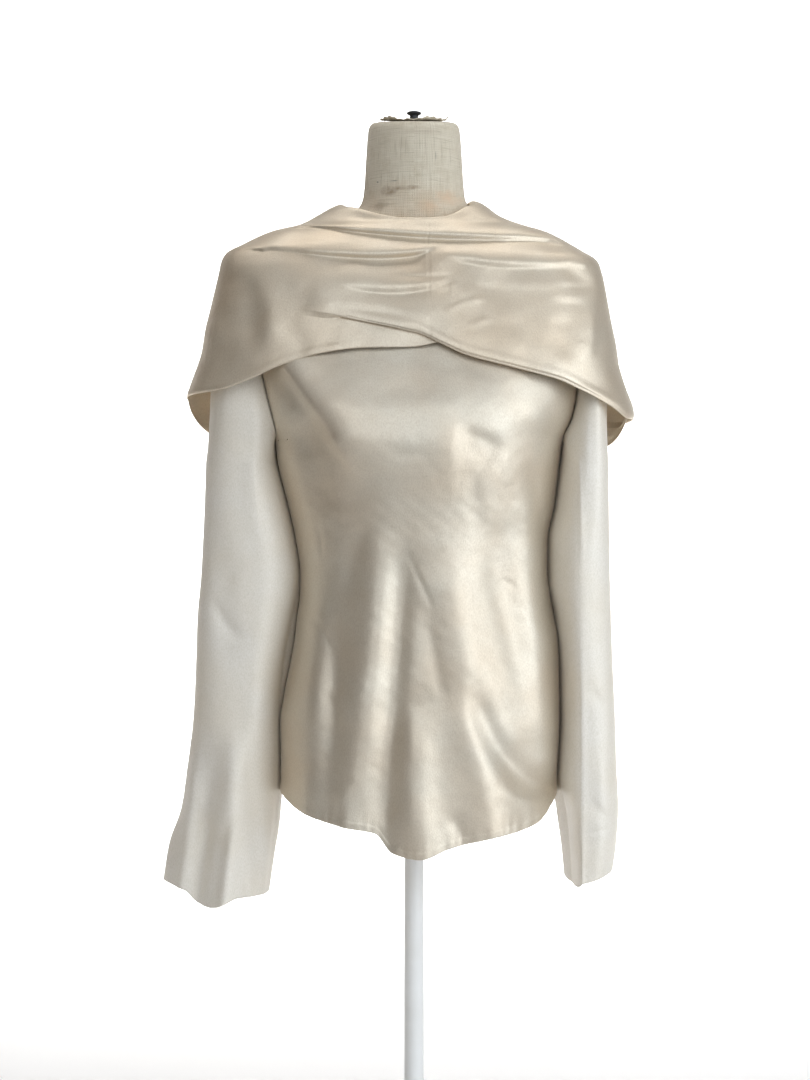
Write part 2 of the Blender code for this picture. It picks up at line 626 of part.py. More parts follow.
def collar_grid(front, back):
    """The collar's rows: up inside from the neckline, over the roll, down outside to
    the lap, through the pleat and down to the hem."""
    degrees = -180 + np.arange(COLLAR_COLUMNS) * 360 / COLLAR_COLUMNS
    angle = np.radians(degrees)
    hem, lap, pleat, radius = (
        read(COLLAR_ROUND, column, degrees) for column in ("hem", "lap", "pleat", "roll")
    )
    stand = LAP * ease_in_out(2.2 * pleat)
    pleat = ease_in_out((pleat - 0.35) / 0.65)
    rolled = roll_height(angle, radius)
    x, y = cowl_point(angle, rolled)
    out_x, out_y = x / radius, y / radius
    bearing = np.arctan2(x, -y)

    def beside(inward, above):
        return np.stack([x - out_x * inward, y - out_y * inward, rolled + above], axis=1)

    seam = neckline_at(front, back, bearing) + np.array([0.0, 0.0, SEAM])
    inner_top = beside(ROLL_WIDTH, ROLL_RISE * 0.2)
    inner_middle = (seam + inner_top) / 2
    for row in (seam, inner_middle, inner_top):
        half, deep_front, deep_back, square = (
            read(FORM, column, row[:, 2]) for column in ("half_width", "front", "back", "square")
        )
        clear = (half + NECK_CLEAR, half + NECK_CLEAR, deep_front + NECK_CLEAR, deep_back + NECK_CLEAR)
        row[:, 0], row[:, 1] = kept_outside(row[:, 0], row[:, 1], *clear, square)
    rows = [seam, inner_middle, inner_top, beside(ROLL_WIDTH / 2, ROLL_RISE)]

    def layer(height, offset, folded):
        px, py = cowl_point(angle, height)
        size = np.hypot(px, py)
        relief = np.where(
            py < 0,
            fold_relief(COLLAR_FRONT_FOLDS, px, height),
            fold_relief(COLLAR_BACK_FOLDS, px, height),
        )
        relief = relief * np.clip(np.abs(py) / 0.03, 0, 1) * folded + offset
        return np.stack([px * (1 + relief / size), py * (1 + relief / size), height], axis=1)

    outer_rows = 11
    for k in range(outer_rows):
        share = k / outer_rows
        height = rolled + (lap - rolled) * share
        near = ease_in_out(1 - (height - lap) / LAP_FADE)
        rows.append(layer(height, stand * near, ease_in_out(share * 4)))
    pleat_rows = (
        (1.00, PLEAT_TURN), (0.80, 0.0), (0.60, PLEAT_TURN), (0.40, TUCK - PLEAT_TURN / 2),
        (0.20, TUCK + PLEAT_TURN / 2), (0.0, TUCK - PLEAT_TURN / 2),
    )
    for k, (offset, above) in enumerate(pleat_rows):
        height = lap - PLEAT_STEP * k + (above + PLEAT_STEP * k) * pleat
        rows.append(layer(height, stand * offset, 1.0))
    last_rows = 3
    for k in range(last_rows):
        rows.append(layer(height + (hem - height) * (k + 1) / last_rows, 0.0, 1.0))
    return np.array(rows)


# The dress form and its stand

def form_grid():
    heights = np.concatenate([
        np.linspace(0.376, 0.880, 15),
        np.linspace(0.888, 0.964, 13),
        np.array([0.9695, 0.975, NECK_LEVEL, 1.040, 1.0475, 1.0515, 1.0540, NECK_TOP]),
    ])
    angle = np.arange(FORM_COLUMNS) * 2 * math.pi / FORM_COLUMNS
    rows = []
    for height in heights:
        half, front, back, square = (
            read(FORM, column, height) for column in ("half_width", "front", "back", "square")
        )
        x, y = on_section(angle, half, half, front, back, square)
        tilt = NECK_TILT * np.clip((height - NECK_LEVEL) / (NECK_TOP - NECK_LEVEL), 0, 1)
        rows.append(np.stack([x, y, height + tilt * y], axis=1))
    return np.array(rows)


def gather_grid():
    """The linen gathered on top of the neck: a flat ring with radial pleats."""
    per_pleat = 4
    angle = np.arange(GATHER_PLEATS * per_pleat) * 2 * math.pi / (GATHER_PLEATS * per_pleat)
    wave = np.cos(angle * GATHER_PLEATS)
    rest = NECK_TOP + FACE_GAP + 0.0019
    rows = []
    for radius, rise, swing in (
        (0.0085, 0.0000, 0.0003), (0.0160, 0.0002, 0.0006), (0.0260, 0.0003, 0.0008),
        (GATHER_RADIUS - 0.0030, 0.0002, 0.0009), (GATHER_RADIUS, 0.0000, 0.0009),
    ):
        spread = radius * (1 + 0.012 * np.cos(angle * 5 + 1.0))
        x, y = spread * np.cos(angle), spread * np.sin(angle)
        rows.append(np.stack([x, y, rest + rise + swing * wave + NECK_TILT * y], axis=1))
    return np.array(rows[::-1])


def build():
    for old in list(bpy.data.objects):
        bpy.data.objects.remove(old, do_unlink=True)
    parts = bpy.data.collections.new(OBJECT_NAME)
    cutters = bpy.data.collections.new(OBJECT_NAME + "_cutters")
    bpy.context.scene.collection.children.link(parts)
    bpy.context.scene.collection.children.link(cutters)

    silk = material("ivory_silk_satin", (0.72, 0.66, 0.58), 0.38)
    linen = material("natural_linen", (0.58, 0.53, 0.43), 0.90)
    black = material("black_knob", (0.012, 0.012, 0.012), 0.45)
    white = material("white_painted_steel", (0.80, 0.80, 0.78), 0.45)

    front = body_grid(-1)
    back = body_grid(1)
    as_cloth(lofted("blouse_front", front, silk, parts))
    as_cloth(lofted("blouse_back", back[:, ::-1], silk, parts))
    left_loop = armhole_loop(front, back, -1)
    right_loop = armhole_loop(front, back, 1)
    left = sleeve_grid(LEFT_SLEEVE, LEFT_CUFF, LEFT_SLEEVE_FOLDS, left_loop, -1, 0.009)
    right = sleeve_grid(RIGHT_SLEEVE, RIGHT_CUFF, RIGHT_SLEEVE_FOLDS, right_loop, 1, 0.006)
    as_cloth(lofted("sleeve_left", left, silk, parts, tube=True))
    as_cloth(lofted("sleeve_right", right[:, ::-1], silk, parts, tube=True))
    as_cloth(lofted("cowl_collar", collar_grid(front, back)[::-1], silk, parts, tube=True))

    lofted("form_torso", form_grid(), linen, parts, tube=True, capped=True)
    gather = lofted("neck_gather", gather_grid(), linen, parts, tube=True)
    as_cloth(gather)
    stem = 0.0044
    foot = NECK_TOP + FACE_GAP + NECK_TILT * stem
    head = KNOB_TOP - 0.0042
    turned("neck_knob", (
        (0.0, KNOB_TOP), (0.0045, KNOB_TOP - 0.0004), (KNOB_RADIUS, KNOB_TOP - 0.0018),
        (KNOB_RADIUS, head + 0.0006), (stem, head), (stem, foot),
        (0.0, foot),
    ), 24, black, parts)

    torso_bottom = FORM["height"][0]
    socket_bottom = torso_bottom - FACE_GAP - SOCKET_HEIGHT
    turned("stand_socket", (
        (0.0, torso_bottom - FACE_GAP), (SOCKET_RADIUS, torso_bottom - FACE_GAP),
        (SOCKET_RADIUS, torso_bottom - 0.004), (0.0150, torso_bottom - 0.006),
        (0.0150, socket_bottom), (0.0, socket_bottom),
    ), 32, white, parts)
    turned("stand_pole", (
        (0.0, socket_bottom - FACE_GAP), (POLE_RADIUS, socket_bottom - FACE_GAP),
        (POLE_RADIUS, HUB_TOP + FACE_GAP), (0.0, HUB_TOP + FACE_GAP),
    ), 32, white, parts)
    turned("stand_base", (
        (0.0, HUB_TOP), (0.0150, HUB_TOP), (0.0170, HUB_TOP - 0.002),
        (HUB_RADIUS, BASE_THICKNESS + 0.002), (HUB_RADIUS + 0.002, BASE_THICKNESS),
        (BASE_RADIUS - 0.003, BASE_THICKNESS), (BASE_RADIUS, BASE_THICKNESS - 0.003),
        (BASE_RADIUS, 0.0), (0.0, 0.0),
    ), 44, white, parts)


build()
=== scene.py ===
# Silk blouse with a wide cowl collar, on the limbless linen dress form that carries it.
# Metres, +Z up, the front faces -Y. Left and right are as seen from the front.
import math

import bmesh
import bpy
import numpy as np
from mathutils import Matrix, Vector


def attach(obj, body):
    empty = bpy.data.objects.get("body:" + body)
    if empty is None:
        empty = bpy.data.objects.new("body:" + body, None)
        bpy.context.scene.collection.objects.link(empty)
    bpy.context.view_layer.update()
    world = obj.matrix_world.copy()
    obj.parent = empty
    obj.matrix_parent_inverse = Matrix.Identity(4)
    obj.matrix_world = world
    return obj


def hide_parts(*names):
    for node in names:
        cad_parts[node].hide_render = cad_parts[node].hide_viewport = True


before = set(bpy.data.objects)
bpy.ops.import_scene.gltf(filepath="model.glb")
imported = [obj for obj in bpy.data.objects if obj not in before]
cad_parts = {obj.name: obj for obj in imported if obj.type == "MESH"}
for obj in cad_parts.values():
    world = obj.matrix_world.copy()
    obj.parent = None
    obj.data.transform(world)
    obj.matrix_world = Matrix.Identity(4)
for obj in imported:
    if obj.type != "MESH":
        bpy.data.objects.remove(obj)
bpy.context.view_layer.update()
print("frame loaded:", len(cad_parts), "nodes")

scene = bpy.context.scene
scene.view_settings.view_transform = "Standard"     # colours come out as they are set
scene.view_settings.look = "None"


# Tables and curves

def table(columns, *rows):
    # an array for each named column
    return dict(zip(columns.split(), np.array(rows, float).T))


def read(rows, column, at):
    # a column of a table by its first column: a monotone cubic through the rows
    keys = next(iter(rows.values()))
    values = rows[column]
    steps = np.diff(keys)
    slopes = np.diff(values) / steps
    tangents = np.concatenate([slopes[:1], np.zeros(len(keys) - 2), slopes[-1:]])
    turning = slopes[:-1] * slopes[1:] <= 0
    before = 2 * steps[1:] + steps[:-1]
    after = steps[1:] + 2 * steps[:-1]
    safe = np.where(turning[:, None], 1.0, np.stack([slopes[:-1], slopes[1:]], axis=1))
    mean = (before + after) / (before / safe[:, 0] + after / safe[:, 1])
    tangents[1:-1] = np.where(turning, 0.0, mean)
    at = np.clip(np.asarray(at, float), keys[0], keys[-1])
    k = np.clip(np.searchsorted(keys, at, side="right") - 1, 0, len(steps) - 1)
    t = (at - keys[k]) / steps[k]
    return (
        values[k] * (2 * t**3 - 3 * t**2 + 1)
        + values[k + 1] * (3 * t**2 - 2 * t**3)
        + steps[k] * tangents[k] * (t**3 - 2 * t**2 + t)
        + steps[k] * tangents[k + 1] * (t**3 - t**2)
    )


def readEach(rows, columns, at):
    # several columns of a table at once
    return [read(rows, column, at) for column in columns.split()]


def easeInOut(value):
    value = np.clip(value, 0.0, 1.0)
    return value * value * (3 - 2 * value)


def smoothThrough(points, count):
    # a row of points every so often along a curve through the given rows
    points = np.array(points)
    place = np.linspace(0, len(points) - 1, count)
    k = np.clip(place.astype(int), 0, len(points) - 2)
    t = (place - k)[:, None, None]
    first = points[np.maximum(k - 1, 0)]
    last = points[np.minimum(k + 2, len(points) - 1)]
    a, b = points[k], points[k + 1]
    return (
        a
        + 0.5 * t * (b - first)
        + t**2 * (first - 2.5 * a + 2 * b - 0.5 * last)
        + 0.5 * t**3 * (3 * a - 3 * b + last - first)
    )


def onSection(angle, left, right, front, back, square):
    # a level section's point, by its angle from the front
    sine, cosine = np.sin(angle), np.cos(angle)
    x = np.where(sine < 0, left, right) * np.sign(sine) * np.abs(sine) ** (2 / square)
    y = np.where(cosine < 0, back, front) * np.sign(cosine) * np.abs(cosine) ** (2 / square)
    return x, -y


def keptOutside(x, y, left, right, front, back, square):
    # the points, with those inside the section moved out to it
    half = np.where(x < 0, left, right)
    depth = np.where(y < 0, front, back)
    reach = ((np.abs(x) / half) ** square + (np.abs(y) / depth) ** square) ** (1 / square)
    grow = 1 / np.minimum(np.maximum(reach, 1e-6), 1.0)
    return x * grow, y * grow


# A fold is a curve through three places. "over" and "under" are its half widths: above
# and below a fold that runs across, to the right and left of one that runs down. "start"
# and "end" are how strong it is at its two ends.
foldColumns = "x0 z0 x1 z1 x2 z2 height over under start end"
foldRuns = 12           # straight runs that a fold's curve is measured along
foldFade = 0.35         # share of its length over which each end fades


def foldRelief(folds, x, z):
    # the height of all the folds together, at each point
    relief = np.zeros(np.broadcast(x, z).shape)
    steps = np.linspace(0, 1, foldRuns + 1)
    for i in range(len(folds["x0"])):
        fold = {name: values[i] for name, values in folds.items()}
        middleX = 2 * fold["x1"] - (fold["x0"] + fold["x2"]) / 2
        middleZ = 2 * fold["z1"] - (fold["z0"] + fold["z2"]) / 2
        blend = (1 - steps) ** 2, 2 * steps * (1 - steps), steps**2
        lineX = blend[0] * fold["x0"] + blend[1] * middleX + blend[2] * fold["x2"]
        lineZ = blend[0] * fold["z0"] + blend[1] * middleZ + blend[2] * fold["z2"]
        away = np.full(relief.shape, 1.0)
        side = np.zeros(relief.shape)
        along = np.zeros(relief.shape)
        for j in range(foldRuns):
            runX, runZ = lineX[j + 1] - lineX[j], lineZ[j + 1] - lineZ[j]
            fromX, fromZ = x - lineX[j], z - lineZ[j]
            t = np.clip((fromX * runX + fromZ * runZ) / (runX**2 + runZ**2), 0, 1)
            found = np.hypot(fromX - t * runX, fromZ - t * runZ)
            nearer = found < away
            side = np.where(nearer, runX * fromZ - runZ * fromX, side)
            along = np.where(nearer, (j + t) / foldRuns, along)
            away = np.where(nearer, found, away)
        width = np.where(side > 0, fold["over"], fold["under"])
        strength = np.minimum(
            fold["start"] + (1 - fold["start"]) * easeInOut(along / foldFade),
            fold["end"] + (1 - fold["end"]) * easeInOut((1 - along) / foldFade),
        )
        relief += fold["height"] * strength * np.exp(-((away / width) ** 2))
    return relief


def rumple(seed, x, z, size, depth, waves=14):
    # soft uneven swells, as in cloth that has been worn: a sum of waves at all bearings,
    # each somewhat shorter or longer than the size
    draw = np.random.default_rng(seed)
    total = np.zeros(np.broadcast(x, z).shape)
    for _ in range(waves):
        bearing, phase = draw.uniform(0, math.pi), draw.uniform(0, 2 * math.pi)
        wave = 2 * math.pi / (size * draw.uniform(0.7, 1.6))
        total += np.sin(wave * (x * math.cos(bearing) + z * math.sin(bearing)) + phase)
    return total * depth / waves**0.5


# Shapes shared by the pieces: level sections of the torso and of the blouse

# the padded torso and its neck; the top rows are the neck's rounded rim
form = table(
    "height halfWidth front back square",
    (0.376, 0.1340, 0.1000, 0.1080, 2.2),
    (0.420, 0.1350, 0.1040, 0.1140, 2.2),
    (0.458, 0.1310, 0.1020, 0.1120, 2.2),
    (0.517, 0.1190, 0.0920, 0.0980, 2.1),
    (0.566, 0.1100, 0.0830, 0.0840, 2.1),
    (0.585, 0.1085, 0.0810, 0.0810, 2.1),
    (0.610, 0.1100, 0.0830, 0.0800, 2.1),
    (0.650, 0.1190, 0.0970, 0.0830, 2.1),
    (0.700, 0.1320, 0.1170, 0.0880, 2.2),
    (0.745, 0.1430, 0.1190, 0.0930, 2.3),
    (0.780, 0.1540, 0.1080, 0.0960, 2.4),
    (0.820, 0.1690, 0.0930, 0.0970, 2.5),
    (0.860, 0.1830, 0.0800, 0.0920, 2.6),
    (0.885, 0.1870, 0.0730, 0.0850, 2.6),
    (0.897, 0.1860, 0.0690, 0.0810, 2.5),
    (0.908, 0.1780, 0.0650, 0.0770, 2.4),
    (0.919, 0.1600, 0.0605, 0.0710, 2.3),
    (0.932, 0.1300, 0.0560, 0.0650, 2.2),
    (0.943, 0.1000, 0.0525, 0.0600, 2.1),
    (0.952, 0.0770, 0.0515, 0.0565, 2.0),
    (0.962, 0.0600, 0.0510, 0.0540, 2.0),
    (0.975, 0.0530, 0.0505, 0.0520, 2.0),
    (1.014, 0.0500, 0.0490, 0.0500, 2.0),
    (1.040, 0.0482, 0.0476, 0.0482, 2.0),
    (1.0475, 0.0471, 0.0465, 0.0471, 2.0),
    (1.0515, 0.0449, 0.0444, 0.0449, 2.0),
    (1.0540, 0.0410, 0.0406, 0.0410, 2.0),
    (1.0545, 0.0372, 0.0370, 0.0372, 2.0),
)

# the widest of the blouse's front and back, as they hang
blouse = table(
    "height left right front back",
    (0.290, 0.1435, 0.1515, 0.1200, 0.1240),
    (0.330, 0.1400, 0.1495, 0.1195, 0.1240),
    (0.380, 0.1380, 0.1480, 0.1180, 0.1230),
    (0.434, 0.1385, 0.1505, 0.1170, 0.1260),
    (0.458, 0.1350, 0.1505, 0.1160, 0.1240),
    (0.490, 0.1285, 0.1500, 0.1145, 0.1190),
    (0.517, 0.1235, 0.1490, 0.1130, 0.1140),
    (0.540, 0.1212, 0.1450, 0.1115, 0.1095),
    (0.566, 0.1180, 0.1405, 0.1105, 0.1060),
    (0.585, 0.1178, 0.1382, 0.1105, 0.1040),
    (0.620, 0.1225, 0.1385, 0.1120, 0.1005),
    (0.655, 0.1300, 0.1450, 0.1170, 0.0985),
    (0.700, 0.1410, 0.1502, 0.1240, 0.0970),
    (0.722, 0.1438, 0.1535, 0.1245, 0.0975),
    (0.745, 0.1520, 0.1650, 0.1235, 0.0985),
    (0.773, 0.1625, 0.1735, 0.1150, 0.0990),
    (0.800, 0.1710, 0.1790, 0.1045, 0.0990),
    (0.840, 0.1840, 0.1870, 0.0895, 0.0965),
    (0.870, 0.1900, 0.1910, 0.0795, 0.0910),
    (0.895, 0.1870, 0.1870, 0.0700, 0.0830),
    (0.975, 0.0400, 0.0400, 0.0300, 0.0300),
)

# how far the armhole seams lie inside those sections
armhole = table(
    "height left right",
    (0.722, 0.0000, 0.0000),
    (0.729, 0.0047, 0.0025),
    (0.745, 0.0080, 0.0040),
    (0.773, 0.0115, 0.0075),
    (0.800, 0.0145, 0.0120),
    (0.840, 0.0215, 0.0180),
    (0.870, 0.0200, 0.0160),
    (0.885, 0.0120, 0.0100),
    (0.902, 0.0000, 0.0000),
)

cloth = {
    "thickness": 0.0007,
    "seam": 0.0010,         # between the middles of two edges at a seam
    "restLift": 0.0036,     # the shoulders' cloth, above the form
    "restEase": 0.0018,     # the same, sideways
    "neckEase": 0.0015,     # and more of it at the neckline
    "neckFrom": 0.925,      # the form's height at which that starts
    "neckOver": 0.025,      # and the height that it takes to grow
    "hem": 0.0065,          # depth of the narrow hems
    "hemStep": 0.0003,      # how far their turned edge stands out
    "swell": (0.050, 0.0005),       # size and depth of the soft unevenness
    "ripple": (0.016, 0.00010),     # and of the finer one
}

# heights that a cutter would mark
landmarks = {
    "sideHem": 0.361,
    "underarm": 0.722,
    "shoulderPoint": 0.902,
    "neckPoint": 0.9585,
    "frontNeck": 0.928,
    "backNeck": 0.948,
}


def restingSection(height):
    # the form's section as the cloth lies on it
    below = np.asarray(height) - cloth["restLift"]
    half, front, back, square = readEach(form, "halfWidth front back square", below)
    nearNeck = easeInOut((below - cloth["neckFrom"]) / cloth["neckOver"])
    ease = cloth["restEase"] + cloth["neckEase"] * nearNeck
    return half + ease, half + ease, front + ease, back + ease, square


def blouseSection(height):
    # the wider of the form's section and the blouse's own
    rest = restingSection(height)
    own = readEach(blouse, "left right front back", height)
    return tuple(np.maximum(a, b) for a, b in zip(rest, own)) + (rest[4],)


# Meshes

def meshPiece(name, grid, tube=False, thickness=0.0):
    # a piece through rows of points; a tube's rows close on themselves
    rows, columns = grid.shape[:2]
    across = columns if tube else columns - 1
    k, i = np.meshgrid(np.arange(rows - 1), np.arange(across), indexing="ij")
    j = (i + 1) % columns
    low, high = k * columns, (k + 1) * columns
    faces = np.stack([low + i, low + j, high + j, high + i], axis=2)
    mesh = bpy.data.meshes.new(name)
    mesh.from_pydata(grid.reshape(-1, 3).tolist(), [], faces.reshape(-1, 4).tolist())
    mesh.shade_smooth()
    piece = bpy.data.objects.new(name, mesh)
    scene.collection.objects.link(piece)
    if thickness:
        wall = piece.modifiers.new("cloth", "SOLIDIFY")
        wall.thickness = thickness
        wall.offset = 0.0
        wall.use_rim = True
    return piece


def turnedPiece(name, profile, steps):
    # radii and heights from the bottom up, turned round Z
    angle = np.arange(steps) * 2 * math.pi / steps
    x, y = np.cos(angle), np.sin(angle)
    grid = np.array([
        np.stack([radius * x, radius * y, np.full(steps, height)], axis=1)
        for radius, height in profile
    ])
    piece = meshPiece(name, grid, tube=True)
    work = bmesh.new()
    work.from_mesh(piece.data)
    bmesh.ops.holes_fill(work, edges=work.edges, sides=0)
    bmesh.ops.recalc_face_normals(work, faces=work.faces)
    work.to_mesh(piece.data)
    work.free()
    piece.data.set_sharp_from_angle(angle=math.radians(40))
    return piece


def tubeAlong(points, radius, sides):
    # rings of a thin tube along a smooth line of points
    line = smoothThrough(np.array(points)[:, None, :], 6 * len(points))[:, 0, :]
    run = np.gradient(line, axis=0)
    run /= np.linalg.norm(run, axis=1)[:, None]
    aside = np.cross(run, np.array([0.31, 0.87, 0.38]))     # no line runs on this bearing
    aside /= np.linalg.norm(aside, axis=1)[:, None]
    other = np.cross(run, aside)
    turn = np.arange(sides) * 2 * math.pi / sides
    return (
        line[:, None, :]
        + radius * np.cos(turn)[None, :, None] * aside[:, None, :]
        + radius * np.sin(turn)[None, :, None] * other[:, None, :]
    )


def dress(piece, node, finish):
    # the finish on a piece, and what the frame needs to know of it
    piece.data.materials.clear()
    piece.data.materials.append(finish)
    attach(piece, "root")
    if node:
        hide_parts(node)
    return piece


# Materials

def linear(hexColour):
    # an sRGB hex value as linear RGBA
    rgba = []
    for i in (1, 3, 5):
        c = int(hexColour[i:i + 2], 16) / 255
        rgba.append(c / 12.92 if c <= 0.04045 else ((c + 0.055) / 1.055) ** 2.4)
    return tuple(rgba) + (1.0,)


def addNode(tree, kind, settings=None, links=None, values=None):
    # one node: its settings by name, its inputs' values, and its links as (node, output)
    node = tree.nodes.new("ShaderNode" + kind)
    for name, value in (settings or {}).items():
        setattr(node, name, value)
    for name, value in (values or {}).items():
        node.inputs[name].default_value = value
    for name, (source, output) in (links or {}).items():
        tree.links.new(source.outputs[output], node.inputs[name])
    return node


def newMaterial(name):
    made = bpy.data.materials.new(name)
    made.use_nodes = True
    tree = made.node_tree
    shader = tree.nodes["Principled BSDF"]
    where = addNode(tree, "TexCoord")
    return made, tree, shader, where


# A mix node set to colours: the sockets of its amount and its two colours, and its result
colours = {"data_type": "RGBA"}
amount, under, over, mixed = 0, 6, 7, 2


# Washed silk satin-back crepe, woven. Its satin face gives the body and the collar a soft
# broad sheen; the collar's copy is painted warmer and darker, as painted shade among its
# layers; the sleeves, cut with the crepe side out, are chalkier and more even, and their
# copy is painted lighter, as painted light on them.
satinFace = {
    "name": "washedSilkSatin", "light": "#E2DACA", "dark": "#DECEB8", "deep": "#C4B6A3",
    "ior": 1.5, "metallic": 0.71, "roughness": 0.48,
    "sheen": 0.25, "sheenRoughness": 0.45, "sheenTint": "#FFF8EC",
    "grain": 0.0011,        # width of a crepe pebble; the real one is about half of this
    "grainDepth": 0.70, "grainShade": 0.45,
    "crinkle": 0.006,       # width of a creased cell that washing leaves
    "crinkleDepth": 0.10,
    "mottle": 0.070,        # width of the faint clouds of the darker colour
    "mottleShade": 0.7,
    "stretch": 0.55,        # grain and creases run longer down the cloth by this
}
# the collar's copy: painted shade, with warmer and darker colours than the body's satin
collarShadedFace = dict(satinFace, name="washedSilkSatinPaintedShade", light="#E6DBC8", dark="#E1CFB6",
                  deep="#C7B7A3")
# the sleeves' copy: matte as the crepe side is, and its colours also painted lighter, as painted
# light on the sleeves
crepeFace = dict(satinFace, name="washedSilkCrepe", light="#F6F0E6", dark="#F1E7D6",
                 deep="#D4CDB9", roughness=0.56, metallic=0.16, grainDepth=0.60)


def silkCloth(look):
    made, tree, shader, where = newMaterial(look["name"])
    cloud = addNode(tree, "TexNoise", None, {"Vector": (where, "Object")},
                    {"Scale": 1 / look["mottle"], "Detail": 3.0, "Roughness": 0.5})
    mottle = addNode(tree, "MapRange", None, {"Value": (cloud, "Fac")},
                     {"From Min": 0.35, "From Max": 0.70, "To Max": look["mottleShade"]})
    lengthways = addNode(tree, "Mapping", None, {"Vector": (where, "Object")},
                         {"Scale": (1.0, 1.0, look["stretch"])})
    pebble = addNode(tree, "TexNoise", None, {"Vector": (lengthways, "Vector")},
                     {"Scale": 1 / look["grain"], "Detail": 2.0, "Roughness": 0.6})
    speck = addNode(tree, "MapRange", None, {"Value": (pebble, "Fac")},
                    {"From Min": 0.35, "From Max": 0.75, "To Max": look["grainShade"]})
    crinkle = addNode(tree, "TexNoise", None, {"Vector": (lengthways, "Vector")},
                      {"Scale": 1 / look["crinkle"], "Detail": 2.0, "Roughness": 0.55,
                       "Distortion": 0.4})
    clouded = addNode(tree, "Mix", colours, {amount: (mottle, "Result")},
                      {under: linear(look["light"]), over: linear(look["dark"])})
    speckled = addNode(tree, "Mix", colours,
                       {amount: (speck, "Result"), under: (clouded, mixed)},
                       {over: linear(look["deep"])})
    rough = addNode(tree, "MapRange", None, {"Value": (pebble, "Fac")},
                    {"From Min": 0.3, "From Max": 0.7, "To Min": look["roughness"] - 0.05,
                     "To Max": look["roughness"] + 0.07})
    pebbled = addNode(tree, "Bump", None, {"Height": (pebble, "Fac")},
                      {"Strength": look["grainDepth"], "Distance": 0.00025})
    crinkled = addNode(tree, "Bump", None,
                       {"Height": (crinkle, "Fac"), "Normal": (pebbled, "Normal")},
                       {"Strength": look["crinkleDepth"], "Distance": 0.0010})
    tree.links.new(speckled.outputs[mixed], shader.inputs["Base Color"])
    tree.links.new(rough.outputs["Result"], shader.inputs["Roughness"])
    tree.links.new(crinkled.outputs["Normal"], shader.inputs["Normal"])
    shader.inputs["IOR"].default_value = look["ior"]
    shader.inputs["Metallic"].default_value = look["metallic"]
    shader.inputs["Sheen Weight"].default_value = look["sheen"]
    shader.inputs["Sheen Roughness"].default_value = look["sheenRoughness"]
    shader.inputs["Sheen Tint"].default_value = linear(look["sheenTint"])
    return made


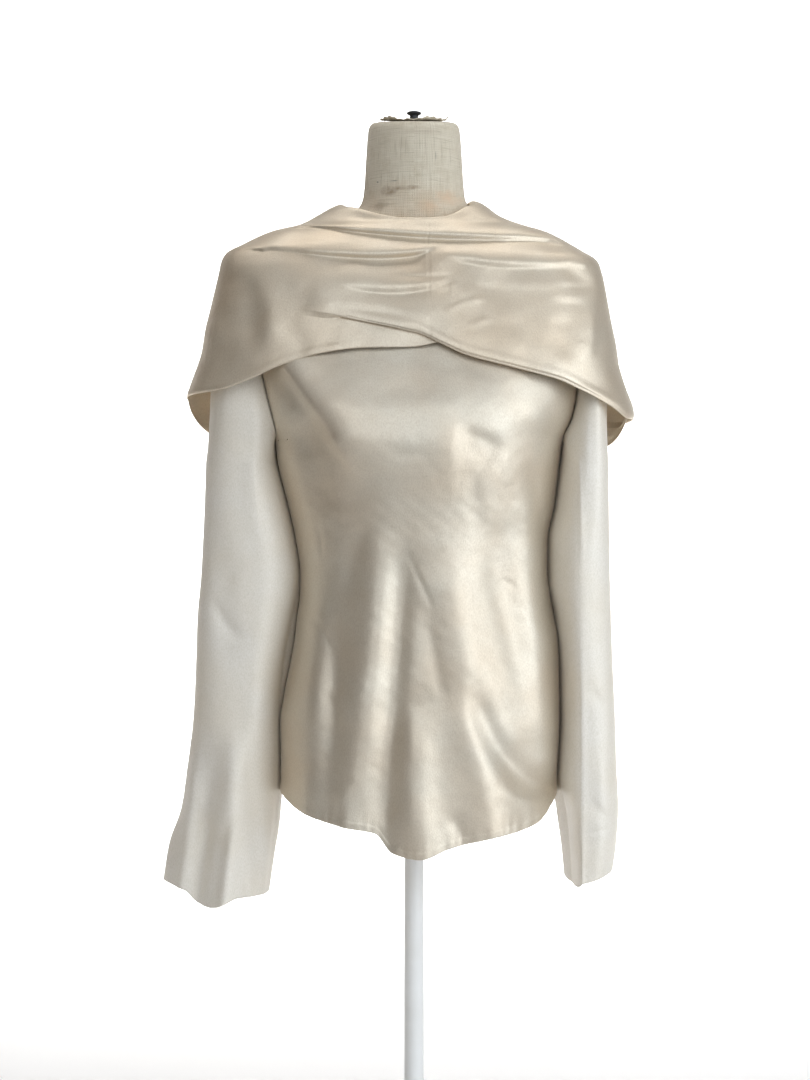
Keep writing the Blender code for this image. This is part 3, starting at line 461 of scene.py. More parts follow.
def agedLinen():
    # Unbleached plain-weave linen, woven with slubs and aged: matte, with its threads,
    # brown smudges and a patchy peach tint that grows towards the bottom of the neck.
    look = {
        "warp": "#DCD2BE", "weft": "#CCC2AC", "thick": "#E9E1CF", "gap": "#A19478",
        "smudge": "#8A6C4C", "lowPeach": "#DBB793", "mark": "#3E352B", "grime": "#AE9A78",
        "thread": 0.0018,       # the real threads are about a third of this
        "wander": 90.0,         # bends of the threads to a metre: 11 mm each
        "slub": (620.0, 28.0),  # slubs to a metre: 1.6 mm wide and 36 mm long
        "cloud": 55.0,          # patches of grime to a metre: 18 mm each
        "roll": 0.05,           # the neck's radius, round which the weave is laid
        "roughness": 0.92, "sheen": 0.15, "sheenRoughness": 0.6,
    }
    stains = (          # centre, half size across and up, colour and strength
        ((-0.015, -0.050, 0.9785), (0.022, 0.0042), "smudge", 0.70),
        ((-0.026, -0.050, 0.9745), (0.010, 0.0035), "smudge", 0.50),
        ((0.000, -0.050, 0.9795), (0.009, 0.0030), "smudge", 0.55),
        ((-0.037, -0.036, 0.9615), (0.011, 0.0055), "smudge", 0.45),
        ((-0.020, -0.048, 0.9865), (0.0050, 0.0010), "mark", 0.90),
        ((-0.0375, -0.036, 0.9868), (0.0014, 0.0012), "mark", 0.85),
        ((0.034, -0.040, 0.9700), (0.020, 0.0085), "lowPeach", 0.60),
        ((0.014, -0.050, 0.9620), (0.013, 0.0120), "lowPeach", 0.55),
        ((0.006, -0.046, 1.0370), (0.030, 0.0040), "smudge", 0.22),
        ((-0.012, -0.048, 1.0250), (0.007, 0.0060), "smudge", 0.18),
        ((0.022, -0.044, 1.0120), (0.0008, 0.0060), "mark", 0.40),
    )
    made, tree, shader, where = newMaterial("agedNaturalLinen")
    place = addNode(tree, "SeparateXYZ", None, {"Vector": (where, "Object")})
    bearing = addNode(tree, "Math", {"operation": "ARCTAN2"},
                      {0: (place, "X"), 1: (place, "Y")})
    around = addNode(tree, "Math", {"operation": "MULTIPLY"}, {0: (bearing, 0)},
                     {1: look["roll"]})
    unrolled = addNode(tree, "CombineXYZ", None,
                       {"X": (around, 0), "Y": (place, "Z")})
    wander = addNode(tree, "TexNoise", None, {"Vector": (unrolled, 0)},
                     {"Scale": look["wander"], "Detail": 3.0})
    bent = addNode(tree, "VectorMath", {"operation": "MULTIPLY_ADD"},
                   {0: (wander, "Color"), 2: (unrolled, 0)}, {1: (0.0016, 0.0016, 0.0)})

    # threads both ways; a wave texture has about 3.14 bands to a unit
    threads, slubs = [], []
    wide, long = look["slub"]
    for direction, size in (("X", (wide, long, 1.0)), ("Y", (long, wide, 1.0))):
        threads.append(addNode(
            tree, "TexWave", {"bands_direction": direction}, {"Vector": (bent, 0)},
            {"Scale": 1 / look["thread"] / 3.14, "Distortion": 1.2, "Detail": 2.0,
             "Detail Scale": 1.5}))
        drawnOut = addNode(tree, "Mapping", None, {"Vector": (bent, 0)},
                           {"Scale": size})
        slubs.append(addNode(tree, "TexNoise", None, {"Vector": (drawnOut, 0)},
                             {"Scale": 1.0, "Detail": 2.0, "Roughness": 0.6}))
    weave = addNode(tree, "Math", {"operation": "MAXIMUM"},
                    {0: (threads[0], "Fac"), 1: (threads[1], "Fac")})
    thick = addNode(tree, "Math", {"operation": "MAXIMUM"},
                    {0: (slubs[0], "Fac"), 1: (slubs[1], "Fac")})
    thin = addNode(tree, "Math", {"operation": "MINIMUM"},
                   {0: (slubs[0], "Fac"), 1: (slubs[1], "Fac")})
    thickMask = addNode(tree, "MapRange", None, {"Value": (thick, 0)},
                        {"From Min": 0.52, "From Max": 0.72, "To Max": 0.60})
    gapMask = addNode(tree, "MapRange", None, {"Value": (thin, 0)},
                      {"From Min": 0.42, "From Max": 0.30, "To Max": 0.40})

    # grime in soft patches, and a patchy peach tint that grows towards the bottom of the neck
    cloud = addNode(tree, "TexNoise", None, {"Vector": (where, "Object")},
                    {"Scale": look["cloud"], "Detail": 6.0, "Roughness": 0.70})
    grimeMask = addNode(tree, "MapRange", None, {"Value": (cloud, "Fac")},
                        {"From Min": 0.50, "From Max": 0.80, "To Max": 0.40})
    # a peach tint, in patches, that grows towards the bottom of the neck
    low = addNode(tree, "MapRange", None, {"Value": (place, "Z")},
                  {"From Min": 0.990, "From Max": 0.955, "To Max": 0.55})
    lowPeachMask = addNode(tree, "Math", {"operation": "MULTIPLY"},
                        {0: (low, "Result"), 1: (cloud, "Fac")})
    shade = addNode(tree, "Mix", colours, {amount: (weave, 0)},
                    {under: linear(look["weft"]), over: linear(look["warp"])})
    layers = [(thickMask, "thick"), (gapMask, "gap"), (grimeMask, "grime"),
              (lowPeachMask, "lowPeach")]
    for centre, (across, up), colour, strength in stains:
        apart = addNode(tree, "VectorMath", {"operation": "SUBTRACT"},
                        {0: (where, "Object")}, {1: centre})
        shrunk = addNode(tree, "VectorMath", {"operation": "MULTIPLY"},
                         {0: (apart, 0)}, {1: (1 / across, 1 / 0.030, 1 / up)})
        away = addNode(tree, "VectorMath", {"operation": "LENGTH"}, {0: (shrunk, 0)})
        ragged = addNode(tree, "Math", {"operation": "MULTIPLY_ADD"},
                         {0: (cloud, "Fac"), 2: (away, "Value")}, {1: 3.2})
        stainMask = addNode(tree, "MapRange", None, {"Value": (ragged, 0)},
                            {"From Min": 2.60, "From Max": 1.60, "To Max": strength})
        layers.append((stainMask, colour))
    for mask, colour in layers:
        shade = addNode(tree, "Mix", colours, {amount: (mask, 0), under: (shade, mixed)},
                        {over: linear(look[colour])})

    relief = addNode(tree, "Math", {"operation": "MULTIPLY_ADD"},
                     {0: (thick, 0), 2: (weave, 0)}, {1: 1.2})
    bump = addNode(tree, "Bump", None, {"Height": (relief, 0)},
                   {"Strength": 0.60, "Distance": 0.0005})
    tree.links.new(shade.outputs[mixed], shader.inputs["Base Color"])
    tree.links.new(bump.outputs["Normal"], shader.inputs["Normal"])
    shader.inputs["Roughness"].default_value = look["roughness"]
    shader.inputs["Sheen Weight"].default_value = look["sheen"]
    shader.inputs["Sheen Roughness"].default_value = look["sheenRoughness"]
    return made


def paintedSteel():
    # Steel, powder coated white: smooth with a faint orange peel and a satin gloss.
    look = {
        "coat": "#F8F8F6", "dust": "#EFEEEA", "roughness": 0.42,
        "peel": 0.0025,         # width of the orange peel's dimples
        "patch": 18.0,          # dusty patches to a metre: 56 mm each
    }
    made, tree, shader, where = newMaterial("whitePowderCoatedSteel")
    peel = addNode(tree, "TexNoise", None, {"Vector": (where, "Object")},
                   {"Scale": 1 / look["peel"], "Detail": 1.0})
    patch = addNode(tree, "TexNoise", None, {"Vector": (where, "Object")},
                    {"Scale": look["patch"], "Detail": 4.0})
    dusty = addNode(tree, "MapRange", None, {"Value": (patch, "Fac")},
                    {"From Min": 0.45, "From Max": 0.75})
    shade = addNode(tree, "Mix", colours, {amount: (dusty, "Result")},
                    {under: linear(look["coat"]), over: linear(look["dust"])})
    bump = addNode(tree, "Bump", None, {"Height": (peel, "Fac")},
                   {"Strength": 0.25, "Distance": 0.0003})
    tree.links.new(shade.outputs[mixed], shader.inputs["Base Color"])
    tree.links.new(bump.outputs["Normal"], shader.inputs["Normal"])
    shader.inputs["Roughness"].default_value = look["roughness"]
    return made


def blackPlastic():
    # Moulded black phenolic plastic, rubbed by hands: dark with a dull gloss.
    look = {
        "body": "#17171A", "rubbed": "#2A2A2D", "roughness": 0.38,
        "rub": 260.0,           # rubbed spots to a metre: 4 mm each
    }
    made, tree, shader, where = newMaterial("blackPhenolicPlastic")
    rub = addNode(tree, "TexNoise", None, {"Vector": (where, "Object")},
                  {"Scale": look["rub"], "Detail": 3.0})
    shade = addNode(tree, "Mix", colours, {amount: (rub, "Fac")},
                    {under: linear(look["body"]), over: linear(look["rubbed"])})
    rough = addNode(tree, "MapRange", None, {"Value": (rub, "Fac")},
                    {"To Min": look["roughness"] - 0.1, "To Max": look["roughness"] + 0.15})
    tree.links.new(shade.outputs[mixed], shader.inputs["Base Color"])
    tree.links.new(rough.outputs["Result"], shader.inputs["Roughness"])
    return made


satin = silkCloth(satinFace)
# the collar's satin, painted warmer and darker as painted shade
collarShadedSatin = silkCloth(collarShadedFace)
crepe = silkCloth(crepeFace)
linen = agedLinen()
white = paintedSteel()
black = blackPlastic()
print("materials made")


# The body: a front and a back panel

body = {
    "columns": 168, "middleCrowding": 0.30,
    "hemRows": 9, "sideRows": 118, "armholeRows": 64, "shoulderRows": 38,
    "hemLevel": 0.330,      # where the hem's width is taken
    "neckTurn": 0.8,        # how the neckline's columns crowd towards the shoulders
    "sideTurn": 1.6,        # how late the columns turn in beside the armholes
    "sideFade": 0.45,       # share of the depth over which folds fade out at the sides
    "sideways": 0.3,        # share of a fold's height that also goes sideways
    "hemRowsReach": 1.5,    # how far up the hem's closer rows go, in hems
    "hemEdge": (1.15, 0.3),     # where the turned hem's step begins and its softness, in hems
    "pucker": 0.0003, "puckerReach": 0.012,     # the hem's gathers along its stitching
    "puckerWave": 620, "puckerDrift": 140,      # radians to a metre: about 10 mm each, uneven
    "frontSeed": 10, "backSeed": 12, "rippleSeed": 10,
    "frontFlat": (0.50, 0.66), "frontArea": 0.245,
    "backFlat": (0.50, 0.66), "backArea": 0.245,
}

# the hems' heights, from side to side
frontHem = table(
    "across height",
    (-0.140, 0.361), (-0.115, 0.347), (-0.073, 0.3355), (-0.040, 0.329), (-0.022, 0.310),
    (0.005, 0.3045), (0.033, 0.314), (0.076, 0.324), (0.122, 0.334), (0.151, 0.361),
)
backHem = table(
    "across height",
    (-0.140, 0.361), (-0.100, 0.336), (0.000, 0.322), (0.100, 0.336), (0.151, 0.361),
)

bodyFrontFolds = table(
    foldColumns,
    # long soft folds from the waist to the hem
    (-0.026, 0.665, -0.040, 0.520, -0.068, 0.330, 0.0054, 0.0170, 0.0200, 0, 1),
    (-0.012, 0.650, -0.019, 0.500, -0.032, 0.320, -0.0074, 0.0140, 0.0150, 0, 1),
    (0.002, 0.460, 0.002, 0.380, 0.008, 0.300, 0.0074, 0.0180, 0.0180, 0, 1),
    (0.024, 0.660, 0.048, 0.500, 0.084, 0.320, 0.0068, 0.0240, 0.0210, 0, 1),
    (0.075, 0.655, 0.090, 0.560, 0.120, 0.440, -0.0040, 0.0150, 0.0150, 0, 0),
    (0.114, 0.690, 0.120, 0.560, 0.136, 0.400, 0.0044, 0.0160, 0.0150, 0, 1),
    (-0.098, 0.600, -0.100, 0.440, -0.104, 0.330, 0.0050, 0.0170, 0.0170, 0, 1),
    (-0.078, 0.560, -0.080, 0.460, -0.086, 0.360, -0.0044, 0.0110, 0.0120, 0, 0),
    (-0.052, 0.640, -0.060, 0.600, -0.074, 0.540, -0.0018, 0.0090, 0.0110, 0, 0),
    # the drag line from the left armhole, with the hollow beside it
    (-0.126, 0.796, -0.088, 0.742, -0.048, 0.670, 0.0120, 0.0340, 0.0100, 1, 0),
    (-0.118, 0.745, -0.100, 0.695, -0.082, 0.640, -0.0044, 0.0130, 0.0160, 0, 0),
    # the bust's soft crest and hollows, and the ones across the waist
    (-0.085, 0.722, 0.000, 0.716, 0.085, 0.724, 0.0042, 0.0280, 0.0420, 0, 0),
    (0.036, 0.724, 0.066, 0.719, 0.096, 0.704, -0.0036, 0.0080, 0.0400, 0, 0),
    (-0.034, 0.716, -0.004, 0.702, 0.016, 0.718, -0.0012, 0.0090, 0.0140, 0, 0),
    (0.052, 0.700, 0.060, 0.660, 0.070, 0.610, -0.0018, 0.0100, 0.0110, 0, 0),
    # the curved fold over the right hem, with its bright lower side
    (0.056, 0.500, 0.078, 0.420, 0.134, 0.366, -0.0070, 0.0130, 0.0140, 0, 1),
    (0.080, 0.376, 0.104, 0.360, 0.132, 0.353, 0.0022, 0.0080, 0.0070, 0, 0),
    (0.034, 0.352, 0.044, 0.334, 0.050, 0.318, -0.0024, 0.0090, 0.0080, 0, 1),
    (-0.072, 0.380, -0.070, 0.360, -0.066, 0.342, 0.0020, 0.0090, 0.0090, 0, 1),
    # small sharp creases
    (-0.010, 0.615, 0.007, 0.578, 0.022, 0.543, -0.0008, 0.0020, 0.0030, 0, 0),
    (0.083, 0.579, 0.095, 0.577, 0.106, 0.569, -0.0012, 0.0022, 0.0032, 0, 0),
    (0.117, 0.722, 0.127, 0.640, 0.133, 0.604, -0.0016, 0.0060, 0.0100, 0, 0),
    (-0.098, 0.640, -0.094, 0.622, -0.093, 0.600, -0.0010, 0.0026, 0.0034, 0, 0),
    (-0.108, 0.548, -0.092, 0.530, -0.080, 0.500, -0.0009, 0.0030, 0.0045, 0, 0),
    (-0.086, 0.470, -0.072, 0.452, -0.064, 0.425, 0.0011, 0.0050, 0.0050, 0, 0),
    (0.010, 0.560, 0.020, 0.500, 0.034, 0.450, -0.0016, 0.0070, 0.0070, 0, 0),
)
bodyBackFolds = table(
    foldColumns,
    (-0.095, 0.560, -0.098, 0.450, -0.104, 0.330, 0.0050, 0.0140, 0.0160, 0, 1),
    (-0.050, 0.600, -0.052, 0.450, -0.048, 0.320, -0.0045, 0.0130, 0.0150, 0, 1),
    (0.000, 0.560, 0.004, 0.430, 0.006, 0.310, 0.0060, 0.0180, 0.0160, 0, 1),
    (0.055, 0.600, 0.056, 0.450, 0.062, 0.320, -0.0050, 0.0130, 0.0150, 0, 1),
    (0.105, 0.570, 0.104, 0.450, 0.110, 0.330, 0.0050, 0.0150, 0.0160, 0, 1),
    # soft swags across the small of the back, and drag lines from the underarms
    (-0.100, 0.650, -0.020, 0.612, 0.060, 0.640, -0.0022, 0.0070, 0.0120, 0, 0),
    (-0.050, 0.600, 0.030, 0.574, 0.100, 0.606, -0.0018, 0.0060, 0.0110, 0, 0),
    (-0.128, 0.735, -0.080, 0.690, -0.040, 0.620, -0.0024, 0.0100, 0.0120, 0, 0),
    (0.130, 0.740, 0.088, 0.690, 0.052, 0.625, -0.0026, 0.0120, 0.0100, 0, 0),
    (-0.075, 0.520, -0.078, 0.450, -0.074, 0.390, -0.0014, 0.0050, 0.0060, 0, 0),
    (0.028, 0.470, 0.034, 0.410, 0.032, 0.350, -0.0016, 0.0060, 0.0060, 0, 1),
    (0.082, 0.500, 0.078, 0.430, 0.086, 0.360, 0.0016, 0.0070, 0.0060, 0, 1),
    (-0.022, 0.540, -0.026, 0.500, -0.020, 0.455, 0.0012, 0.0050, 0.0060, 0, 0),
)


def bodyRowsUp():
    # how far up a panel its rows are, by their heights at its edge
    low, underarm, point, neck = (
        landmarks[name] for name in ("sideHem", "underarm", "shoulderPoint", "neckPoint")
    )
    turn = np.linspace(0, math.pi, body["armholeRows"] + 1)
    hemTop = low + body["hemRowsReach"] * cloth["hem"]
    heights = np.concatenate([
        np.linspace(low, hemTop, body["hemRows"] + 1)[:-1],
        np.linspace(hemTop, underarm, body["sideRows"] + 1)[:-1],
        underarm + (point - underarm) * (1 - np.cos(turn)) / 2,
        np.linspace(point, neck, body["shoulderRows"] + 1)[1:],
    ])
    return ((heights - low) / (neck - low))[:, None]


def edgeAngle(height, sign):
    # the angle from a panel's middle to its edge: a quarter turn, less beside the armholes
    left, right, *_, square = blouseSection(height)
    inset = np.where(sign < 0, read(armhole, "left", height), read(armhole, "right", height))
    return np.arcsin((1 - inset / np.where(sign < 0, left, right)) ** (square / 2))


def necklineOf(side, place):
    # for each column, the height at which it ends and the angle there
    turn = np.abs(place) ** body["neckTurn"] * math.pi / 2
    lowest = landmarks["frontNeck"] if side < 0 else landmarks["backNeck"]
    height = lowest + (landmarks["neckPoint"] - lowest) * (1 - np.cos(turn))
    left, *_, square = blouseSection(height)
    across = np.sin(turn) * blouseSection(landmarks["neckPoint"])[0] / left
    return height, np.arcsin(np.minimum(across, 1.0) ** (square / 2))


def bodyGrid(side):
    # the points of the front (side -1) or back (side 1) panel, hem first
    place = np.linspace(-1, 1, body["columns"] + 1)
    place = place + body["middleCrowding"] * (place**3 - place)
    sign, part = np.sign(place), np.abs(place)
    top, topAngle = necklineOf(side, place)
    hem = frontHem if side < 0 else backHem
    across = onSection(place * math.pi / 2, *blouseSection(body["hemLevel"]))[0]
    bottom = read(hem, "height", across)
    up = bodyRowsUp()
    height = bottom + (top - bottom) * up
    inset = math.pi / 2 - edgeAngle(height, sign)
    angle = part * math.pi / 2 - inset * part ** body["sideTurn"]
    atShoulder = up[body["hemRows"] + body["sideRows"] + body["armholeRows"]]
    rising = np.clip((up - atShoulder) / (1 - atShoulder), 0, 1)
    angle = angle + (topAngle - angle) * rising
    left, right, front, back, square = blouseSection(height)
    depth = front if side < 0 else back
    x, y = onSection(angle * sign, left, right, depth, depth, square)
    y = -side * y
    folds = bodyFrontFolds if side < 0 else bodyBackFolds
    seed = body["frontSeed"] if side < 0 else body["backSeed"]
    relief = foldRelief(folds, x, height)
    relief = relief + rumple(seed, x, height, *cloth["swell"])
    relief = relief + rumple(seed + body["rippleSeed"], x, height, *cloth["ripple"])
    relief = relief * np.clip(np.abs(y) / (body["sideFade"] * depth), 0, 1)
    # the turned hem stands out with a soft edge, and puckers
    aboveHem = height - bottom
    step, softness = (cloth["hem"] * share for share in body["hemEdge"])
    turned = easeInOut((step - aboveHem) / softness)
    drift = 1.5 * np.sin(x * body["puckerDrift"])
    pucker = body["pucker"] * np.sin(x * body["puckerWave"] + drift)
    pucker = pucker * np.exp(-((aboveHem / body["puckerReach"]) ** 2))
    relief = relief + cloth["hemStep"] * turned + pucker
    x, y = x * (1 + body["sideways"] * relief / depth), y + side * relief
    x, y = keptOutside(x, y, *restingSection(height))
    return np.stack([x, y + side * cloth["seam"] / 2, height], axis=2)


def armholeLoop(front, back, sign):
    # the armhole's edge from the shoulder point down the front and up the back
    first = body["hemRows"] + body["sideRows"]
    rows = slice(first, first + body["armholeRows"] + 1)
    column = 0 if sign < 0 else body["columns"]
    downFront = front[rows, column][::-1]
    upBack = back[rows, column]
    ends = (downFront[0] + upBack[-1]) / 2, (downFront[-1] + upBack[0]) / 2
    return np.concatenate([[ends[0]], downFront[1:-1], [ends[1]], upBack[1:-1]])


frontGrid = bodyGrid(-1)
backGrid = bodyGrid(1)
frontPiece = dress(meshPiece("silkFront", frontGrid, thickness=cloth["thickness"]),
                   "blouse_front", satin)
backPiece = dress(meshPiece("silkBack", backGrid[:, ::-1], thickness=cloth["thickness"]),
                  "blouse_back", satin)
print("body panels made")


# The sleeves

sleeves = {
    "capRows": 26, "rows": 186,
    "crowding": 1.5,        # how the points crowd towards the shoulder
    "capStart": 0.0008,     # from the armhole's edge to the cap's
    "clear": 0.0012,        # from the body, where a sleeve lies on it
    "innerSquare": 2.0,     # how square the side next to the body is
    "reach": 0.008,         # how far the back goes in behind the body's side
    "leftBulge": 0.009, "rightBulge": 0.006,        # of the caps over the shoulders
    "foldwiseBulge": 0.5,   # share of that towards the front and the back
    "outFirst": 0.4, "downLast": 0.5,       # a cap goes out before it goes down, by these
    "leftFlat": (0.34, 0.66), "leftArea": 0.17,
    "rightFlat": (0.32, 0.66), "rightArea": 0.15,
}

# level sections: how far out the outer side, the inner side and the foremost line are, how
# far forward or back the front, the back and the middle are, how far the back wraps in
# behind the body, and how square the outer side is
leftSleeve = table(
    "height outer inner fold front back middle wrap square",
    (0.252, 0.2590, 0.1540, 0.196, -0.055, 0.030, -0.012, 0.004, 1.6),
    (0.290, 0.2530, 0.1490, 0.190, -0.055, 0.030, -0.012, 0.005, 1.6),
    (0.330, 0.2406, 0.1445, 0.182, -0.056, 0.030, -0.012, 0.010, 1.8),
    (0.380, 0.2339, 0.1400, 0.176, -0.057, 0.030, -0.012, 0.013, 2.2),
    (0.440, 0.2272, 0.1404, 0.170, -0.058, 0.031, -0.012, 0.015, 2.7),
    (0.490, 0.2247, 0.1361, 0.166, -0.059, 0.033, -0.012, 0.020, 3.0),
    (0.540, 0.2230, 0.1272, 0.160, -0.060, 0.034, -0.013, 0.019, 3.0),
    (0.580, 0.2194, 0.1200, 0.159, -0.060, 0.035, -0.014, 0.013, 3.0),
    (0.620, 0.2170, 0.1247, 0.160, -0.061, 0.037, -0.016, 0.012, 3.0),
    (0.655, 0.2154, 0.1322, 0.162, -0.062, 0.039, -0.016, 0.006, 3.0),
    (0.700, 0.2140, 0.1432, 0.165, -0.062, 0.042, -0.014, 0.000, 3.0),
)
rightSleeve = table(
    "height outer inner fold front back middle wrap square",
    (0.262, 0.2045, 0.1640, 0.170, -0.068, 0.040, -0.010, 0.003, 2.4),
    (0.290, 0.2081, 0.1622, 0.170, -0.070, 0.040, -0.010, 0.005, 2.6),
    (0.330, 0.2098, 0.1590, 0.169, -0.071, 0.041, -0.010, 0.009, 3.0),
    (0.380, 0.2079, 0.1503, 0.170, -0.072, 0.042, -0.010, 0.010, 3.0),
    (0.440, 0.2062, 0.1528, 0.170, -0.072, 0.042, -0.012, 0.010, 3.0),
    (0.490, 0.2038, 0.1523, 0.169, -0.073, 0.043, -0.014, 0.011, 3.0),
    (0.540, 0.2020, 0.1475, 0.168, -0.074, 0.044, -0.016, 0.011, 3.0),
    (0.580, 0.2007, 0.1408, 0.168, -0.075, 0.045, -0.018, 0.011, 3.0),
    (0.620, 0.2000, 0.1408, 0.170, -0.075, 0.048, -0.018, 0.010, 3.0),
    (0.655, 0.1995, 0.1472, 0.173, -0.075, 0.052, -0.017, 0.005, 3.0),
    (0.700, 0.1990, 0.1528, 0.177, -0.075, 0.056, -0.015, 0.000, 3.0),
)
# how much higher than its level each part of a cuff is, by the angle from its outer side
# round by the front
leftCuff = table(
    "angle rise",
    (0, 0.0180), (22, 0.0160), (48, 0.0100), (61, -0.0030), (76, -0.0060), (90, -0.0030),
    (112, 0.0037), (180, 0.0030), (270, 0.0060), (360, 0.0180),
)
rightCuff = table(
    "angle rise",
    (0, 0.0210), (45, 0.0180), (90, 0.0104), (135, 0.0050), (180, 0.0040), (270, 0.0120),
    (360, 0.0210),
)
leftSleeveFolds = table(
    foldColumns,
    # from the elbow to the flared cuff
    (-0.176, 0.440, -0.186, 0.350, -0.194, 0.235, 0.0110, 0.0130, 0.0170, 0, 1),
    (-0.200, 0.400, -0.212, 0.330, -0.222, 0.240, -0.0085, 0.0100, 0.0100, 0, 1),
    (-0.222, 0.420, -0.232, 0.340, -0.246, 0.250, 0.0060, 0.0090, 0.0090, 0, 1),
    (-0.164, 0.380, -0.161, 0.320, -0.157, 0.250, -0.0044, 0.0080, 0.0080, 0, 1),
    (-0.222, 0.352, -0.205, 0.318, -0.190, 0.300, -0.0030, 0.0060, 0.0080, 0, 0),
    (-0.205, 0.345, -0.213, 0.300, -0.222, 0.238, -0.0040, 0.0050, 0.0060, 0, 1),
    (-0.186, 0.350, -0.196, 0.300, -0.206, 0.232, -0.0050, 0.0060, 0.0080, 0, 1),
    (-0.235, 0.330, -0.242, 0.290, -0.250, 0.250, -0.0036, 0.0050, 0.0070, 0, 1),
    # a soft bend at the elbow, and the press fold down from the collar
    (-0.200, 0.650, -0.194, 0.560, -0.188, 0.470, -0.0026, 0.0140, 0.0140, 0, 0),
    (-0.165, 0.790, -0.164, 0.700, -0.160, 0.600, 0.0018, 0.0060, 0.0090, 0, 0),
    (-0.210, 0.572, -0.190, 0.535, -0.168, 0.518, -0.0018, 0.0050, 0.0080, 0, 0),
    (-0.176, 0.610, -0.184, 0.585, -0.200, 0.575, -0.0008, 0.0040, 0.0060, 0, 0),
    # the cuff's little slit and the lines of its turned hem
    (-0.172, 0.278, -0.1715, 0.265, -0.171, 0.245, -0.0018, 0.0016, 0.0016, 0, 1),
    (-0.190, 0.3300, -0.176, 0.3345, -0.162, 0.3410, -0.0010, 0.0016, 0.0020, 0, 0),
)
rightSleeveFolds = table(
    foldColumns,
    (0.188, 0.660, 0.190, 0.560, 0.190, 0.440, -0.0032, 0.0110, 0.0110, 0, 0),
    (0.192, 0.430, 0.190, 0.340, 0.188, 0.252, 0.0026, 0.0090, 0.0090, 0, 1),
    (0.176, 0.480, 0.190, 0.455, 0.206, 0.450, -0.0016, 0.0040, 0.0070, 0, 0),
    (0.176, 0.362, 0.192, 0.342, 0.208, 0.338, -0.0022, 0.0045, 0.0080, 0, 0),
    (0.176, 0.565, 0.188, 0.542, 0.202, 0.546, -0.0012, 0.0050, 0.0070, 0, 0),
    (0.178, 0.700, 0.190, 0.690, 0.200, 0.696, -0.0010, 0.0050, 0.0080, 0, 0),
    # the seam down the sleeve, and the edge of its deep hem
    (0.1660, 0.715, 0.1690, 0.560, 0.1695, 0.250, 0.0013, 0.0016, 0.0016, 1, 1),
    (0.1690, 0.3235, 0.1880, 0.3270, 0.2100, 0.3320, -0.0011, 0.0012, 0.0030, 1, 1),
)


def sleeveRing(rows, height, angle, sign):
    # a level section, with a back that reaches in behind the body's side
    outer, inner, fold, frontEdge, backEdge, middle, wrap, square = readEach(
        rows, "outer inner fold front back middle wrap square", height)
    swing, toward = np.cos(angle), np.sin(angle)
    # the front is flat out to its side, and falls away inward from a soft edge
    power = 2 / np.where(swing > 0, square, sleeves["innerSquare"])
    power = np.where(toward > 0, power, 1.0)
    swing = np.sign(swing) * np.abs(swing) ** power
    toward = np.sign(toward) * np.abs(toward) ** power
    inward = (fold - inner) * np.maximum(-swing, 0) ** np.where(toward < 0, 0.5, 1.0)
    x = fold + (outer - fold) * np.maximum(swing, 0) - inward
    x = x - (wrap + sleeves["reach"]) * np.maximum(-toward, 0) * (1 - swing) / 2
    y = middle + np.where(toward > 0, middle - frontEdge, backEdge - middle) * -toward
    return sign * x, y


def outsidePanels(x, y, height):
    # a sleeve's points, moved out where they would touch the body
    *sides, square = blouseSection(height)
    movedX, movedY = keptOutside(x, y, *(side + sleeves["clear"] for side in sides), square)
    below = height < landmarks["underarm"]
    return np.where(below, movedX, x), np.where(below, movedY, y)


def sleeveGrid(rows, cuff, folds, loop, sign, bulge):
    # the cap's rings from the armhole's edge, and the level rings from there to the cuff
    count = len(loop)
    part = np.arange(count) * 2 / count
    turn = math.pi * np.minimum(part, 2 - part) ** sleeves["crowding"]
    angle = np.where(part <= 1, turn, 2 * math.pi - turn)
    hangTop, hangBottom = rows["height"][-1], rows["height"][0]
    topX, topY = sleeveRing(rows, hangTop, angle, sign)
    hung = np.stack([topX, topY, np.full(count, hangTop)], axis=1)
    outward = (1 + np.cos(angle)) / 2
    towardFold = np.abs(np.sin(angle))
    start = loop + np.array([sign * sleeves["capStart"], 0.0, 0.0])
    start[:, 2] -= sleeves["capStart"] * (1 - outward)
    rings = []
    for k in range(sleeves["capRows"]):
        share = k / sleeves["capRows"]
        out = share ** (1 - sleeves["outFirst"] * towardFold)
        down = share ** (1 + sleeves["downLast"] * towardFold)
        ring = start + (hung - start) * np.stack([out, out, down], axis=1)
        swell = 6.75 * share * (1 - share) ** 2     # 1 at its most, a third of the way down
        ring[:, 0] += sign * bulge * swell * outward
        ring[:, 1] -= np.sin(angle) * sleeves["foldwiseBulge"] * bulge * swell
        if k > 0:
            ring[:, 0], ring[:, 1] = outsidePanels(ring[:, 0], ring[:, 1], ring[:, 2])
        rings.append(ring)
    for k in range(sleeves["rows"] + 1):
        share = k / sleeves["rows"]
        level = hangTop + (hangBottom - hangTop) * share
        # the cuff's slope grows over the lower half, and the folds are on the front alone
        height = level + read(cuff, "rise", np.degrees(angle)) * easeInOut(share * 2 - 1)
        x, y = sleeveRing(rows, level, angle, sign)
        y = y - foldRelief(folds, x, height) * np.clip(np.sin(angle) * 2, 0, 1)
        x, y = outsidePanels(x, y, height)
        rings.append(np.stack([x, y, height], axis=1))
    return np.array(rings)


leftLoop = armholeLoop(frontGrid, backGrid, -1)
rightLoop = armholeLoop(frontGrid, backGrid, 1)
leftGrid = sleeveGrid(leftSleeve, leftCuff, leftSleeveFolds, leftLoop, -1,
                      sleeves["leftBulge"])
rightGrid = sleeveGrid(rightSleeve, rightCuff, rightSleeveFolds, rightLoop, 1,
                       sleeves["rightBulge"])
sleeveLeft = dress(meshPiece("silkSleeveLeft", leftGrid, True, cloth["thickness"]),
                   "sleeve_left", crepe)
sleeveRight = dress(meshPiece("silkSleeveRight", rightGrid[:, ::-1], True, cloth["thickness"]),
                    "sleeve_right", crepe)
print("sleeves made")


# The cowl collar

